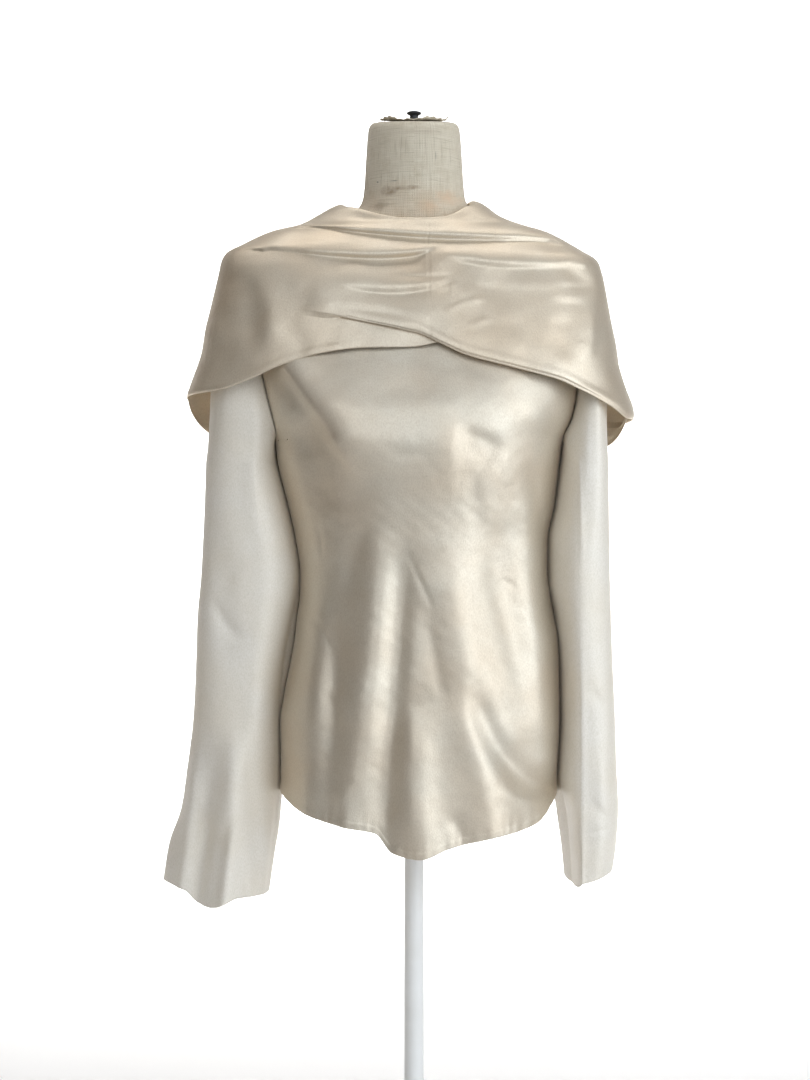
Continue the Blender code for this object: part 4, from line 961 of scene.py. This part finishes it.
collar = {
    "columns": 306, "innerRows": 8, "rollRows": 10, "outerRows": 82, "pleatRows": 26,
    "lastRows": 24,
    "columnLevel": 0.850,       # where the columns are spaced evenly
    "crowding": 1.6, "crowdedAt": 0.026, "crowdedWidth": 0.022,     # but near the front seam
    "neckClear": 0.0013,
    "rollRise": 0.0026, "rollWidth": 0.0048, "rollBetween": (0.930, 0.985),
    "innerRise": 0.2,           # share of the rise at the roll's inner side
    "sideFullness": 2.4,        # the roll is this much wider over the shoulders
    "lap": 0.0045,              # how far the upper layer stands off over the pleat
    "lapGrowth": 2.2,           # it stands off before the pleat is deep, by this
    "lapFade": 0.060,           # the height over which it comes back to the chest
    "pleatFrom": 0.35,          # the share of a pleat at which cloth starts to tuck under
    "tuck": 0.013, "turn": 0.0022, "step": 0.0012,
    "rim": 0.0007, "rimWidth": 0.0095,          # the folded edges' roundness
    "lapRim": (0.7, 6), "hemRim": (0.5, 8),     # where it is, in widths, and how sharp
    "seamAt": 0.0150, "seamRelief": 0.00018, "seamWidth": 0.0011, "seamGroove": 2.2,
    "seamEdge": 0.0026, "seamEdgeWidth": 0.0016,
    "settle": 0.0045, "settleFrom": 0.050,      # how the hem lies back onto the chest
    "settleEnds": (0.3, 0.4),   # the cosine of the bearing where it stops, and the fade
    "foldsIn": 11,              # folds are full this share of the way down: one in eleven
    "swellSeed": 5, "swell": (0.045, 0.0005), "rippleSeed": 6,
    "sideFade": 0.03,           # the depth over which folds fade out over the shoulders
    "flat": (1.10, 0.36), "area": 0.30,
}

# level sections of the collar's smooth form
cowl = table(
    "height left right front back square",
    (0.690, 0.2250, 0.2180, 0.1260, 0.1170, 2.5),
    (0.732, 0.2320, 0.2220, 0.1230, 0.1140, 2.5),
    (0.755, 0.2365, 0.2230, 0.1200, 0.1120, 2.5),
    (0.776, 0.2325, 0.2170, 0.1165, 0.1100, 2.5),
    (0.812, 0.2205, 0.2105, 0.1100, 0.1080, 2.5),
    (0.838, 0.2160, 0.2060, 0.1030, 0.1060, 2.5),
    (0.875, 0.2075, 0.1990, 0.0930, 0.1010, 2.5),
    (0.897, 0.2022, 0.1945, 0.0862, 0.0970, 2.5),
    (0.909, 0.1995, 0.1900, 0.0820, 0.0940, 2.4),
    (0.917, 0.1950, 0.1780, 0.0785, 0.0915, 2.3),
    (0.926, 0.1780, 0.1630, 0.0745, 0.0880, 2.2),
    (0.932, 0.1660, 0.1520, 0.0710, 0.0850, 2.2),
    (0.939, 0.1500, 0.1380, 0.0655, 0.0810, 2.1),
    (0.9455, 0.1230, 0.1160, 0.0590, 0.0775, 2.0),
    (0.949, 0.1140, 0.1050, 0.0572, 0.0760, 2.0),
    (0.957, 0.0995, 0.0870, 0.0550, 0.0725, 2.0),
    (0.964, 0.0870, 0.0780, 0.0525, 0.0690, 2.0),
    (0.970, 0.0735, 0.0685, 0.0500, 0.0655, 2.0),
    (0.976, 0.0580, 0.0560, 0.0470, 0.0610, 2.0),
    (0.985, 0.0400, 0.0400, 0.0400, 0.0540, 2.0),
)

# round the collar, by the angle from the front towards the right: the radius of its roll,
# the heights of its hem and of its lap, and how much of a pleat there is
collarRound = table(
    "angle roll hem lap pleat",
    (-180, 0.0673, 0.7000, 0.785, 0.00),
    (-135, 0.0735, 0.7150, 0.800, 0.00),
    (-112, 0.0809, 0.7346, 0.822, 0.00),
    (-90, 0.0849, 0.7656, 0.838, 0.00),
    (-56, 0.0838, 0.7707, 0.848, 0.00),
    (-41, 0.0768, 0.7829, 0.852, 0.00),
    (-32, 0.0725, 0.7950, 0.852, 0.00),
    (-20, 0.0661, 0.8064, 0.8475, 0.34),
    (-10, 0.0617, 0.8112, 0.8390, 0.78),
    (-1, 0.0596, 0.8119, 0.8290, 1.00),
    (4.6, 0.0602, 0.8170, 0.8150, 1.00),
    (10, 0.0617, 0.8070, 0.8040, 1.00),
    (18, 0.0651, 0.7990, 0.7960, 1.00),
    (28, 0.0675, 0.7910, 0.7880, 1.00),
    (40, 0.0691, 0.7810, 0.7780, 1.00),
    (59, 0.0733, 0.7584, 0.7554, 1.00),
    (72, 0.0717, 0.7473, 0.7443, 1.00),
    (90, 0.0694, 0.7470, 0.7440, 0.85),
    (112, 0.0712, 0.7208, 0.7450, 0.20),
    (135, 0.0700, 0.7080, 0.7700, 0.00),
    (180, 0.0673, 0.7000, 0.7850, 0.00),
)

collarFrontFolds = table(
    foldColumns,
    # the cowl's rings, each drooping a little over the next
    (-0.012, 0.9450, 0.030, 0.9415, 0.084, 0.9470, -0.0034, 0.0018, 0.0070, 0, 1),
    (-0.114, 0.9390, 0.006, 0.9256, 0.143, 0.9245, -0.0072, 0.0026, 0.0130, 1, 1),
    (0.090, 0.9285, 0.117, 0.9270, 0.142, 0.9240, -0.0020, 0.0036, 0.0080, 0, 1),
    (-0.150, 0.9140, -0.035, 0.9030, 0.033, 0.9165, -0.0072, 0.0030, 0.0160, 0.5, 0),
    (0.020, 0.9060, 0.090, 0.8935, 0.164, 0.8975, -0.0046, 0.0038, 0.0170, 0, 0.4),
    (-0.085, 0.8760, -0.020, 0.8655, 0.050, 0.8790, -0.0044, 0.0050, 0.0190, 0, 0),
    (-0.030, 0.8855, 0.010, 0.8840, 0.046, 0.8870, -0.0010, 0.0024, 0.0050, 0, 0),
    (0.046, 0.8790, 0.100, 0.8690, 0.176, 0.8745, -0.0016, 0.0070, 0.0190, 0, 0),
    (-0.100, 0.8500, -0.050, 0.8470, 0.010, 0.8400, -0.0016, 0.0060, 0.0110, 0, 0),
    # over the left shoulder
    (-0.166, 0.890, -0.168, 0.850, -0.162, 0.802, -0.0024, 0.0120, 0.0120, 0, 0),
    (-0.146, 0.888, -0.144, 0.850, -0.138, 0.806, 0.0026, 0.0110, 0.0120, 0, 0),
    (-0.196, 0.860, -0.202, 0.810, -0.212, 0.775, 0.0024, 0.0100, 0.0100, 0, 1),
    (-0.112, 0.835, -0.118, 0.805, -0.128, 0.785, -0.0014, 0.0090, 0.0090, 0, 1),
    # over the right shoulder
    (0.140, 0.9030, 0.165, 0.8900, 0.184, 0.8720, -0.0022, 0.0070, 0.0130, 0, 0),
    (0.136, 0.8795, 0.164, 0.8755, 0.186, 0.8800, -0.0010, 0.0036, 0.0080, 0, 0),
    (0.140, 0.8620, 0.158, 0.8590, 0.176, 0.8640, -0.0007, 0.0034, 0.0080, 0, 0),
    (0.180, 0.866, 0.177, 0.830, 0.170, 0.786, 0.0026, 0.0090, 0.0120, 0, 0),
    (0.152, 0.856, 0.153, 0.825, 0.148, 0.794, -0.0016, 0.0100, 0.0110, 0, 0),
    (0.096, 0.850, 0.112, 0.825, 0.128, 0.798, -0.0014, 0.0110, 0.0100, 0, 0),
    (0.074, 0.900, 0.084, 0.860, 0.098, 0.804, -0.0036, 0.0300, 0.0200, 0, 0.4),
    # creases pressed in by folding, and the sharp little ones beside them
    (0.038, 0.888, 0.038, 0.870, 0.038, 0.853, 0.0006, 0.0018, 0.0018, 0, 0),
    (0.033, 0.852, 0.033, 0.835, 0.033, 0.815, 0.0006, 0.0018, 0.0018, 0, 0),
    (0.024, 0.8450, 0.054, 0.8590, 0.078, 0.8630, 0.0008, 0.0020, 0.0044, 0, 0),
    (0.050, 0.8300, 0.064, 0.8380, 0.080, 0.8430, 0.0007, 0.0018, 0.0042, 0, 0),
    (0.020, 0.8710, 0.034, 0.8740, 0.046, 0.8790, 0.0006, 0.0018, 0.0040, 0, 0),
)
collarBackFolds = table(
    foldColumns,
    (-0.120, 0.9400, -0.010, 0.9230, 0.120, 0.9380, -0.0034, 0.0030, 0.0080, 0.4, 0.4),
    (-0.130, 0.9250, 0.000, 0.8850, 0.130, 0.9200, 0.0040, 0.0110, 0.0080, 0, 0),
    (-0.140, 0.9000, 0.010, 0.8620, 0.140, 0.8950, -0.0040, 0.0050, 0.0110, 0, 0),
    (-0.160, 0.8800, 0.000, 0.8150, 0.160, 0.8750, 0.0050, 0.0130, 0.0110, 0, 0),
    (-0.185, 0.8450, -0.020, 0.7700, 0.175, 0.8400, -0.0040, 0.0070, 0.0130, 0, 0),
    (-0.120, 0.7800, -0.118, 0.7400, -0.122, 0.7000, 0.0050, 0.0120, 0.0120, 0, 1),
    (0.060, 0.7800, 0.066, 0.7400, 0.070, 0.7000, 0.0060, 0.0140, 0.0140, 0, 1),
    (-0.060, 0.7700, -0.052, 0.7350, -0.050, 0.7000, -0.0030, 0.0100, 0.0100, 0, 1),
    (0.120, 0.8050, 0.134, 0.7700, 0.142, 0.7200, -0.0030, 0.0100, 0.0090, 0, 1),
    (-0.020, 0.8560, 0.030, 0.8400, 0.070, 0.8480, -0.0012, 0.0020, 0.0044, 0, 0),
    (-0.090, 0.8380, -0.060, 0.8180, -0.020, 0.8080, -0.0012, 0.0024, 0.0050, 0, 0),
)


def cowlPoint(angle, height):
    # a point of the collar's smooth form
    return onSection(angle, *readEach(cowl, "left right front back square", height))


def collarAngles():
    # evenly round the collar by length, and closer together at the centre-front seam
    fine = np.linspace(-math.pi, math.pi, 6001)
    x, y = cowlPoint(fine, np.full(fine.shape, collar["columnLevel"]))
    length = np.hypot(np.diff(x), np.diff(y))
    away = (x[1:] + x[:-1]) / 2 - collar["crowdedAt"]
    near = np.exp(-((away / collar["crowdedWidth"]) ** 2)) * (y[1:] < 0)
    total = np.concatenate([[0.0], np.cumsum(length * (1 + collar["crowding"] * near))])
    return np.interp(np.arange(collar["columns"]) / collar["columns"] * total[-1], total, fine)


def rollHeight(angle, radius):
    # the height at which the outer layer comes as near to the neck as its roll
    low, high = (np.full(angle.shape, height) for height in collar["rollBetween"])
    for _ in range(30):     # halving the range each time
        middle = (low + high) / 2
        outside = np.hypot(*cowlPoint(angle, middle)) > radius
        low, high = np.where(outside, middle, low), np.where(outside, high, middle)
    return (low + high) / 2


def necklineAt(bearing):
    # the neckline's points by their bearing from the front
    loop = np.concatenate([frontGrid[-1], backGrid[-1][::-1]])
    found = np.arctan2(loop[:, 0], -loop[:, 1])
    order = np.argsort(found)
    found, loop = found[order], loop[order]
    found = np.concatenate([found[-1:] - 2 * math.pi, found, found[:1] + 2 * math.pi])
    loop = np.concatenate([loop[-1:], loop, loop[:1]])
    return np.stack([np.interp(bearing, found, loop[:, i]) for i in range(3)], axis=1)


def frontSeam(x, y):
    # the seam down the collar's front: a fine groove between two soft edges
    away = np.abs(x - collar["seamAt"])
    edges = np.exp(-(((away - collar["seamEdge"]) / collar["seamEdgeWidth"]) ** 2))
    groove = collar["seamGroove"] * np.exp(-((away / collar["seamWidth"]) ** 2))
    return collar["seamRelief"] * (edges - groove) * (y < 0)


def foldedRim(above, centre, sharpness):
    # how far a folded edge stands out, by the height above it
    return collar["rim"] * np.exp(-((above / collar["rimWidth"] - centre) ** 2) * sharpness)


def collarGrid():
    # up inside from the neckline, over the roll, down outside to the lap, through the
    # pleat and down to the hem
    angle = collarAngles()
    hem, lap, pleat, radius = readEach(collarRound, "hem lap pleat roll", np.degrees(angle))
    lift = collar["lap"] * easeInOut(collar["lapGrowth"] * pleat)
    pleat = easeInOut((pleat - collar["pleatFrom"]) / (1 - collar["pleatFrom"]))
    rolled = rollHeight(angle, radius)
    x, y = cowlPoint(angle, rolled)
    outX, outY = x / radius, y / radius
    fuller = 1 + collar["sideFullness"] * np.sin(angle) ** 4
    ends, fade = collar["settleEnds"]

    def beside(inward, above):
        # a row inside the roll's outer edge, and above it
        inward = inward * fuller
        return np.stack([x - outX * inward, y - outY * inward, rolled + above], axis=1)

    def layer(height, offset, folded):
        # a row of the outer layer, moved out by its folds where "folded" is 1
        px, py = cowlPoint(angle, height)
        size = np.hypot(px, py)
        atFront = foldRelief(collarFrontFolds, px, height)
        atBack = foldRelief(collarBackFolds, px, height)
        relief = np.where(py < 0, atFront, atBack)
        relief = relief + rumple(collar["swellSeed"], px, height, *collar["swell"])
        relief = relief + rumple(collar["rippleSeed"], px, height, *cloth["ripple"])
        relief = relief * np.clip(np.abs(py) / collar["sideFade"], 0, 1)
        settled = easeInOut(1 - (height - hem) / collar["settleFrom"])
        settled = settled * easeInOut((np.cos(angle) - ends) / fade)    # at the front only
        relief = (relief + frontSeam(px, py)) * folded + offset - collar["settle"] * settled
        return np.stack([px * (1 + relief / size), py * (1 + relief / size), height], axis=1)

    seam = necklineAt(np.arctan2(x, -y)) + np.array([0.0, 0.0, cloth["seam"]])
    innerTop = beside(collar["rollWidth"], collar["rollRise"] * collar["innerRise"])
    inner = [seam + (innerTop - seam) * k / collar["innerRows"]
             for k in range(collar["innerRows"] + 1)]
    for row in inner:
        half, front, back, square = readEach(form, "halfWidth front back square", row[:, 2])
        half, front, back = (size + collar["neckClear"] for size in (half, front, back))
        row[:, :2] = np.stack(
            keptOutside(row[:, 0], row[:, 1], half, half, front, back, square), axis=1)
    outer = []
    for k in range(collar["outerRows"]):
        share = k / collar["outerRows"]
        height = rolled + (lap - rolled) * share
        near = easeInOut(1 - (height - lap) / collar["lapFade"])
        rim = foldedRim(height - lap, *collar["lapRim"])
        full = easeInOut(share * collar["foldsIn"])
        outer.append(layer(height, lift * near + rim * pleat, full))
    crest = beside(collar["rollWidth"] / 2, collar["rollRise"])
    rows = collar["rollRows"]
    roll = smoothThrough([inner[-2], inner[-1], crest, outer[0], outer[1]], 4 * rows + 1)
    roll = roll[rows:-rows]
    # the pleat: how far off each of its rows stands, and how far above the lap it is
    turn, tuck = collar["turn"], collar["tuck"]
    pleatRows = ((1.00, turn), (0.80, 0.0), (0.60, turn), (0.40, tuck - turn / 2),
                 (0.20, tuck + turn / 2), (0.0, tuck - turn / 2))
    folded = []
    for k, (offset, above) in enumerate(pleatRows):
        height = lap - collar["step"] * k + (above + collar["step"] * k) * pleat
        folded.append(layer(height, lift * offset, 1.0))
    last = []
    for k in range(collar["lastRows"]):
        share = (k + 1) / collar["lastRows"]
        level = height + (hem - height) * share
        rim = foldedRim(level - hem, *collar["hemRim"])
        last.append(layer(level, rim * (1 - pleat), 1.0))
    bend = smoothThrough([outer[-1]] + folded + [last[0]], collar["pleatRows"] + 1)
    return np.concatenate([inner[:-1], roll, outer[1:-1], bend, last[1:]])


collarPiece = dress(
    meshPiece("silkCowlCollar", collarGrid()[::-1], True, cloth["thickness"]),
    "cowl_collar", collarShadedSatin)
print("collar made")


# The dress form

torso = {
    "columns": 96, "bottom": 0.376, "neckTop": 1.0545,
    # up to the shoulders, over them and up the neck, round its rim: where each stretch
    # ends and the next begins, and how many rows it has
    "meeting": (0.880, 0.884, 1.040, 1.0425), "rows": (50, 42, 16),
    "neckTilt": 0.15,       # slope of the neck's top, down towards the front
    "neckLevel": 1.014,     # the height from which the neck leans into that slope
}


def torsoGrid():
    ends = (torso["bottom"], *torso["meeting"], torso["neckTop"])
    heights = np.concatenate([
        np.linspace(low, high, count)
        for low, high, count in zip(ends[::2], ends[1::2], torso["rows"])
    ])
    angle = np.arange(torso["columns"]) * 2 * math.pi / torso["columns"]
    rows = []
    for height in heights:
        half, front, back, square = readEach(form, "halfWidth front back square", height)
        x, y = onSection(angle, half, half, front, back, square)
        tilt = (height - torso["neckLevel"]) / (torso["neckTop"] - torso["neckLevel"])
        rows.append(np.stack([x, y, height + torso["neckTilt"] * max(tilt, 0.0) * y], axis=1))
    rim = rows[-1]
    for share in (0.66, 0.33, 0.02):        # the flat top
        x, y = rim[:, 0] * share, rim[:, 1] * share
        rows.append(np.stack([x, y, torso["neckTop"] + torso["neckTilt"] * y], axis=1))
    return np.array(rows)


dress(meshPiece("linenTorso", torsoGrid(), True), "form_torso", linen)

gather = {
    "pleats": 26, "perPleat": 8, "radius": 0.0352, "lift": 0.0012, "thickness": 0.0006,
    "uneven": ((3, 0.6, 0.5), (7, 2.0, 0.3)),   # waves round the ring, start, size
    "shift": 2.6,                               # by which those move the pleats
    "curl": (0.55, 0.45, 5, 1.3),               # mean and depth, waves round the ring, start
    "pressed": (1.5, 0.09, 0.8),    # flat at the front: bearing and width in half turns, share
    "spreadUneven": 0.020, "spreadPleats": 0.024,       # shares of the radius
    "swing": (0.6, 0.5),                        # mean and depth of the pleats' height
    "flat": (0.26, 0.024), "area": 0.0046,
}

# from the middle out: how far each ring rises, and how much of that its pleats swing
gatherRings = table(
    "radius rise swing",
    (0.0100, 0.0002, 0.0002), (0.0130, 0.0003, 0.0004), (0.0170, 0.0003, 0.0005),
    (0.0210, 0.0003, 0.0006), (0.0260, 0.0004, 0.0007), (0.0300, 0.0006, 0.0008),
    (gather["radius"] - 0.0020, 0.0013, 0.0010), (gather["radius"] - 0.0006, 0.0024, 0.0012),
    (gather["radius"], 0.0038, 0.0012),
)


def gatherGrid():
    # the linen drawn together on top of the neck: a ragged ring of uneven radial pleats
    # whose raw edge curls up here and lies flat there
    count = gather["pleats"] * gather["perPleat"]
    angle = np.arange(count) * 2 * math.pi / count
    uneven = sum(np.sin(angle * waves + start) * size for waves, start, size in gather["uneven"])
    wave = np.cos(angle * gather["pleats"] + gather["shift"] * uneven)
    mean, depth, waves, start = gather["curl"]
    curl = mean + depth * np.sin(angle * waves + start + uneven)
    bearing, width, flat = gather["pressed"]
    curl = curl * (1 - flat * np.exp(-(((angle / math.pi - bearing) / width) ** 2)))
    pleatMean, pleatDepth = gather["swing"]
    rows = []
    for radius, rise, swing in zip(*gatherRings.values()):
        spread = radius * (
            1 + gather["spreadUneven"] * uneven + gather["spreadPleats"] * wave)
        x, y = spread * np.cos(angle), spread * np.sin(angle)
        height = gather["lift"] + rise * curl + swing * (pleatMean + pleatDepth * wave)
        rows.append(np.stack([x, y, torso["neckTop"] + height + torso["neckTilt"] * y], axis=1))
    return np.array(rows[::-1])


gatherPiece = dress(meshPiece("linenGather", gatherGrid(), True, gather["thickness"]),
                    "neck_gather", linen)

fray = {
    "count": 230, "seed": 7, "radius": 0.00013, "length": (0.0012, 0.0040),
    "from": (0.80, 1.0),        # of the ring's radius
    "lean": 0.9,                # to either side, in radians
    "rise": (-0.2, 1.3),        # slope
    "droop": 0.25,              # of the length
    "bendAt": 0.55, "lift": 0.0008,
    "looseRadius": 0.00022,
    "loose": ((0.0330, -0.0060, 1.0560), (0.0350, -0.0080, 1.0606), (0.0385, -0.0090, 1.0640),
              (0.0368, -0.0095, 1.0668)),
}


def frayedThreads():
    # short threads that stick out of the raw edge, and one long loose one
    draw = np.random.default_rng(fray["seed"])
    grids = []
    for _ in range(fray["count"]):
        angle = draw.uniform(0, 2 * math.pi)
        radius = gather["radius"] * draw.uniform(*fray["from"])
        length = draw.uniform(*fray["length"])
        lean = draw.uniform(-fray["lean"], fray["lean"])
        x, y = math.cos(angle) * radius, math.sin(angle) * radius
        level = torso["neckTop"] + gather["lift"] + fray["lift"]
        start = np.array([x, y, level + torso["neckTilt"] * y])
        rise = draw.uniform(*fray["rise"])
        out = np.array([math.cos(angle + lean), math.sin(angle + lean), rise])
        out = out * length / np.linalg.norm(out)
        droop = np.array([0.0, 0.0, -length * fray["droop"]])
        line = [start, start + out * fray["bendAt"], start + out + droop]
        grids.append(tubeAlong(line, fray["radius"], 4))
    grids.append(tubeAlong(fray["loose"], fray["looseRadius"], 5))
    pieces = [meshPiece("thread", grid, True) for grid in grids]
    work = bmesh.new()
    for piece in pieces:
        work.from_mesh(piece.data)
        old = piece.data
        bpy.data.objects.remove(piece, do_unlink=True)
        bpy.data.meshes.remove(old)
    bmesh.ops.holes_fill(work, edges=work.edges, sides=8)
    mesh = bpy.data.meshes.new("linenThreads")
    work.to_mesh(mesh)
    work.free()
    made = bpy.data.objects.new("linenThreads", mesh)
    scene.collection.objects.link(made)
    mesh.shade_smooth()
    return made


threads = dress(frayedThreads(), None, linen)

knob = {
    "top": 1.0660, "radius": 0.0078, "stem": 0.0044, "gap": 0.0003,
    "thickness": 0.0042, "edge": 0.0012, "sides": 48,
    "throat": (0.0008, 0.0006), "hollow": 0.0018,       # the turned-in lower side
    # the crown's rings: radius, and depth below the top
    "crown": ((0.0062, 0.0008), (0.0042, 0.0002), (0.0015, 0.0)),
}


def knobProfile():
    rest = torso["neckTop"] + knob["gap"] + torso["neckTilt"] * knob["stem"]
    under = knob["top"] - knob["thickness"]
    outward, drop = knob["throat"]
    profile = [(knob["stem"], rest), (knob["stem"], under - drop),
               (knob["stem"] + outward, under)]
    for t in np.linspace(0.2, math.pi / 2, 6):
        profile.append((knob["radius"] - knob["edge"] * (1 - math.sin(t)),
                        under + drop + knob["hollow"] * (1 - math.cos(t))))
    return profile + [(radius, knob["top"] - depth) for radius, depth in knob["crown"]]


dress(turnedPiece("blackKnob", knobProfile(), knob["sides"]), "neck_knob",
      black)

stand = {
    "gap": 0.0003, "sides": 64, "baseSides": 128,
    "socketHeight": 0.0220, "socketRadius": 0.0300, "socketNeck": 0.0150,
    "poleRadius": 0.0100,
    "hubTop": 0.0300, "hubRadius": 0.0220, "hubShoulder": 0.0170, "hubMouth": 0.0150,
    "baseRadius": 0.1400, "baseThickness": 0.0080, "baseEdge": 0.003,
    "socketFlare": (0.0060, 0.0040),    # from its neck to its plate, below its top
    "chamfer": 0.0008, "weld": 0.0020,  # under the base's rim, and at the hub's foot and mouth
}


def socketProfile(top, low):
    neck, radius = stand["socketNeck"], stand["socketRadius"]
    start, end = stand["socketFlare"]
    return [(neck, low), (neck, top - start), (radius, top - end), (radius, top)]


def baseProfile():
    # the plate with its rounded upper edge, and the hub that takes the pole
    plate, hub, top = stand["baseThickness"], stand["hubRadius"], stand["hubTop"]
    chamfer, weld = stand["chamfer"], stand["weld"]
    profile = [(stand["baseRadius"] - chamfer, 0.0), (stand["baseRadius"], chamfer)]
    for t in np.linspace(0, math.pi / 2, 5):
        profile.append((stand["baseRadius"] - stand["baseEdge"] * (1 - math.cos(t)),
                        plate - stand["baseEdge"] * (1 - math.sin(t))))
    return profile + [(hub + weld, plate), (hub, plate + weld),
                      (stand["hubShoulder"], top - weld), (stand["hubMouth"], top)]


socketTop = torso["bottom"] - stand["gap"]
socketLow = socketTop - stand["socketHeight"]
poleProfile = [(stand["poleRadius"], stand["hubTop"] + stand["gap"]),
               (stand["poleRadius"], socketLow - stand["gap"])]
for name, node, profile, sides in (
    ("socketPiece", "stand_socket", socketProfile(socketTop, socketLow), stand["sides"]),
    ("polePiece", "stand_pole", poleProfile, stand["sides"]),
    ("basePiece", "stand_base", baseProfile(), stand["baseSides"]),
):
    dress(turnedPiece(name, profile, sides), node, white)
print("form and stand made")


# Floor, light and camera

studio = {
    "floor": "#FFFFFF", "floorRoughness": 0.85, "floorDrop": 0.0005,
    # it curves up into a wall
    "reach": 9.0, "rear": 6.0, "bend": 1.6, "bendRows": 16, "wallTop": 6.0,
    "world": "#FFF1E1", "worldStrength": 0.145, "spread": 120,
    "cameraAt": (-0.0094, -2.4, 0.62), "frameHeight": 1.1232, "sensor": 36.0,
}

# soft square lights: where they are, their size and power, what they face, their colour
lights = {
    "key": ((1.92, -1.4, 0.97), 2.05, 17.5, (0.0, 0.0, 0.65), "#EDF6FF"),
    "front": ((-0.24, -2.77, 1.78), 2.63, 15.5, (0.0, 0.0, 0.65), "#EDF6FF"),
    "backdrop": ((0.0, 1.1, 2.8), 3.0, 76.0, (0.0, 2.8, 0.4), "#FFFFFF"),
    "wall": ((0.0, 3.2, 4.4), 4.0, 340.0, (0.0, 6.2, 0.6), "#FFFFFF"),
}


def plainFloor():
    # a sheet of matt seamless paper
    reach, rear, bend = studio["reach"], studio["rear"], studio["bend"]
    line = [(-reach, 0.0), (rear, 0.0)]
    line += [(rear + bend * math.sin(t), bend * (1 - math.cos(t)))
             for t in np.linspace(0, math.pi / 2, studio["bendRows"] + 1)[1:]]
    line += [(rear + bend, studio["wallTop"])]
    grid = np.array([
        [(-reach, y, z - studio["floorDrop"]), (reach, y, z - studio["floorDrop"])]
        for y, z in line
    ])
    floor = meshPiece("floor", grid)
    paper, _, shader, _ = newMaterial("palePaperFloor")
    shader.inputs["Base Color"].default_value = linear(studio["floor"])
    shader.inputs["Roughness"].default_value = studio["floorRoughness"]
    floor.data.materials.append(paper)


def softLight(name, place, size, power, target, colour):
    lamp = bpy.data.lights.new(name, "AREA")
    lamp.shape = "SQUARE"
    lamp.size = size
    lamp.energy = power
    lamp.spread = math.radians(studio["spread"])
    lamp.color = linear(colour)[:3]
    light = bpy.data.objects.new(name, lamp)
    light.location = place
    light.visible_camera = False
    light.rotation_euler = (Vector(target) - Vector(place)).to_track_quat("-Z", "Y").to_euler()
    scene.collection.objects.link(light)


plainFloor()
for name, settings in lights.items():
    softLight(name, *settings)

world = bpy.data.worlds.new("studio")
world.use_nodes = True
background = world.node_tree.nodes["Background"]
background.inputs["Color"].default_value = linear(studio["world"])
background.inputs["Strength"].default_value = studio["worldStrength"]
scene.world = world

# level, and far enough off that "frameHeight" fills the picture at the form's middle
lens = bpy.data.cameras.new("camera")
lens.sensor_width = studio["sensor"]
lens.lens = studio["sensor"] * -studio["cameraAt"][1] / studio["frameHeight"]
camera = bpy.data.objects.new("camera", lens)
camera.location = studio["cameraAt"]
camera.rotation_euler = (math.pi / 2, 0.0, 0.0)
scene.collection.objects.link(camera)
scene.camera = camera
print("studio made")
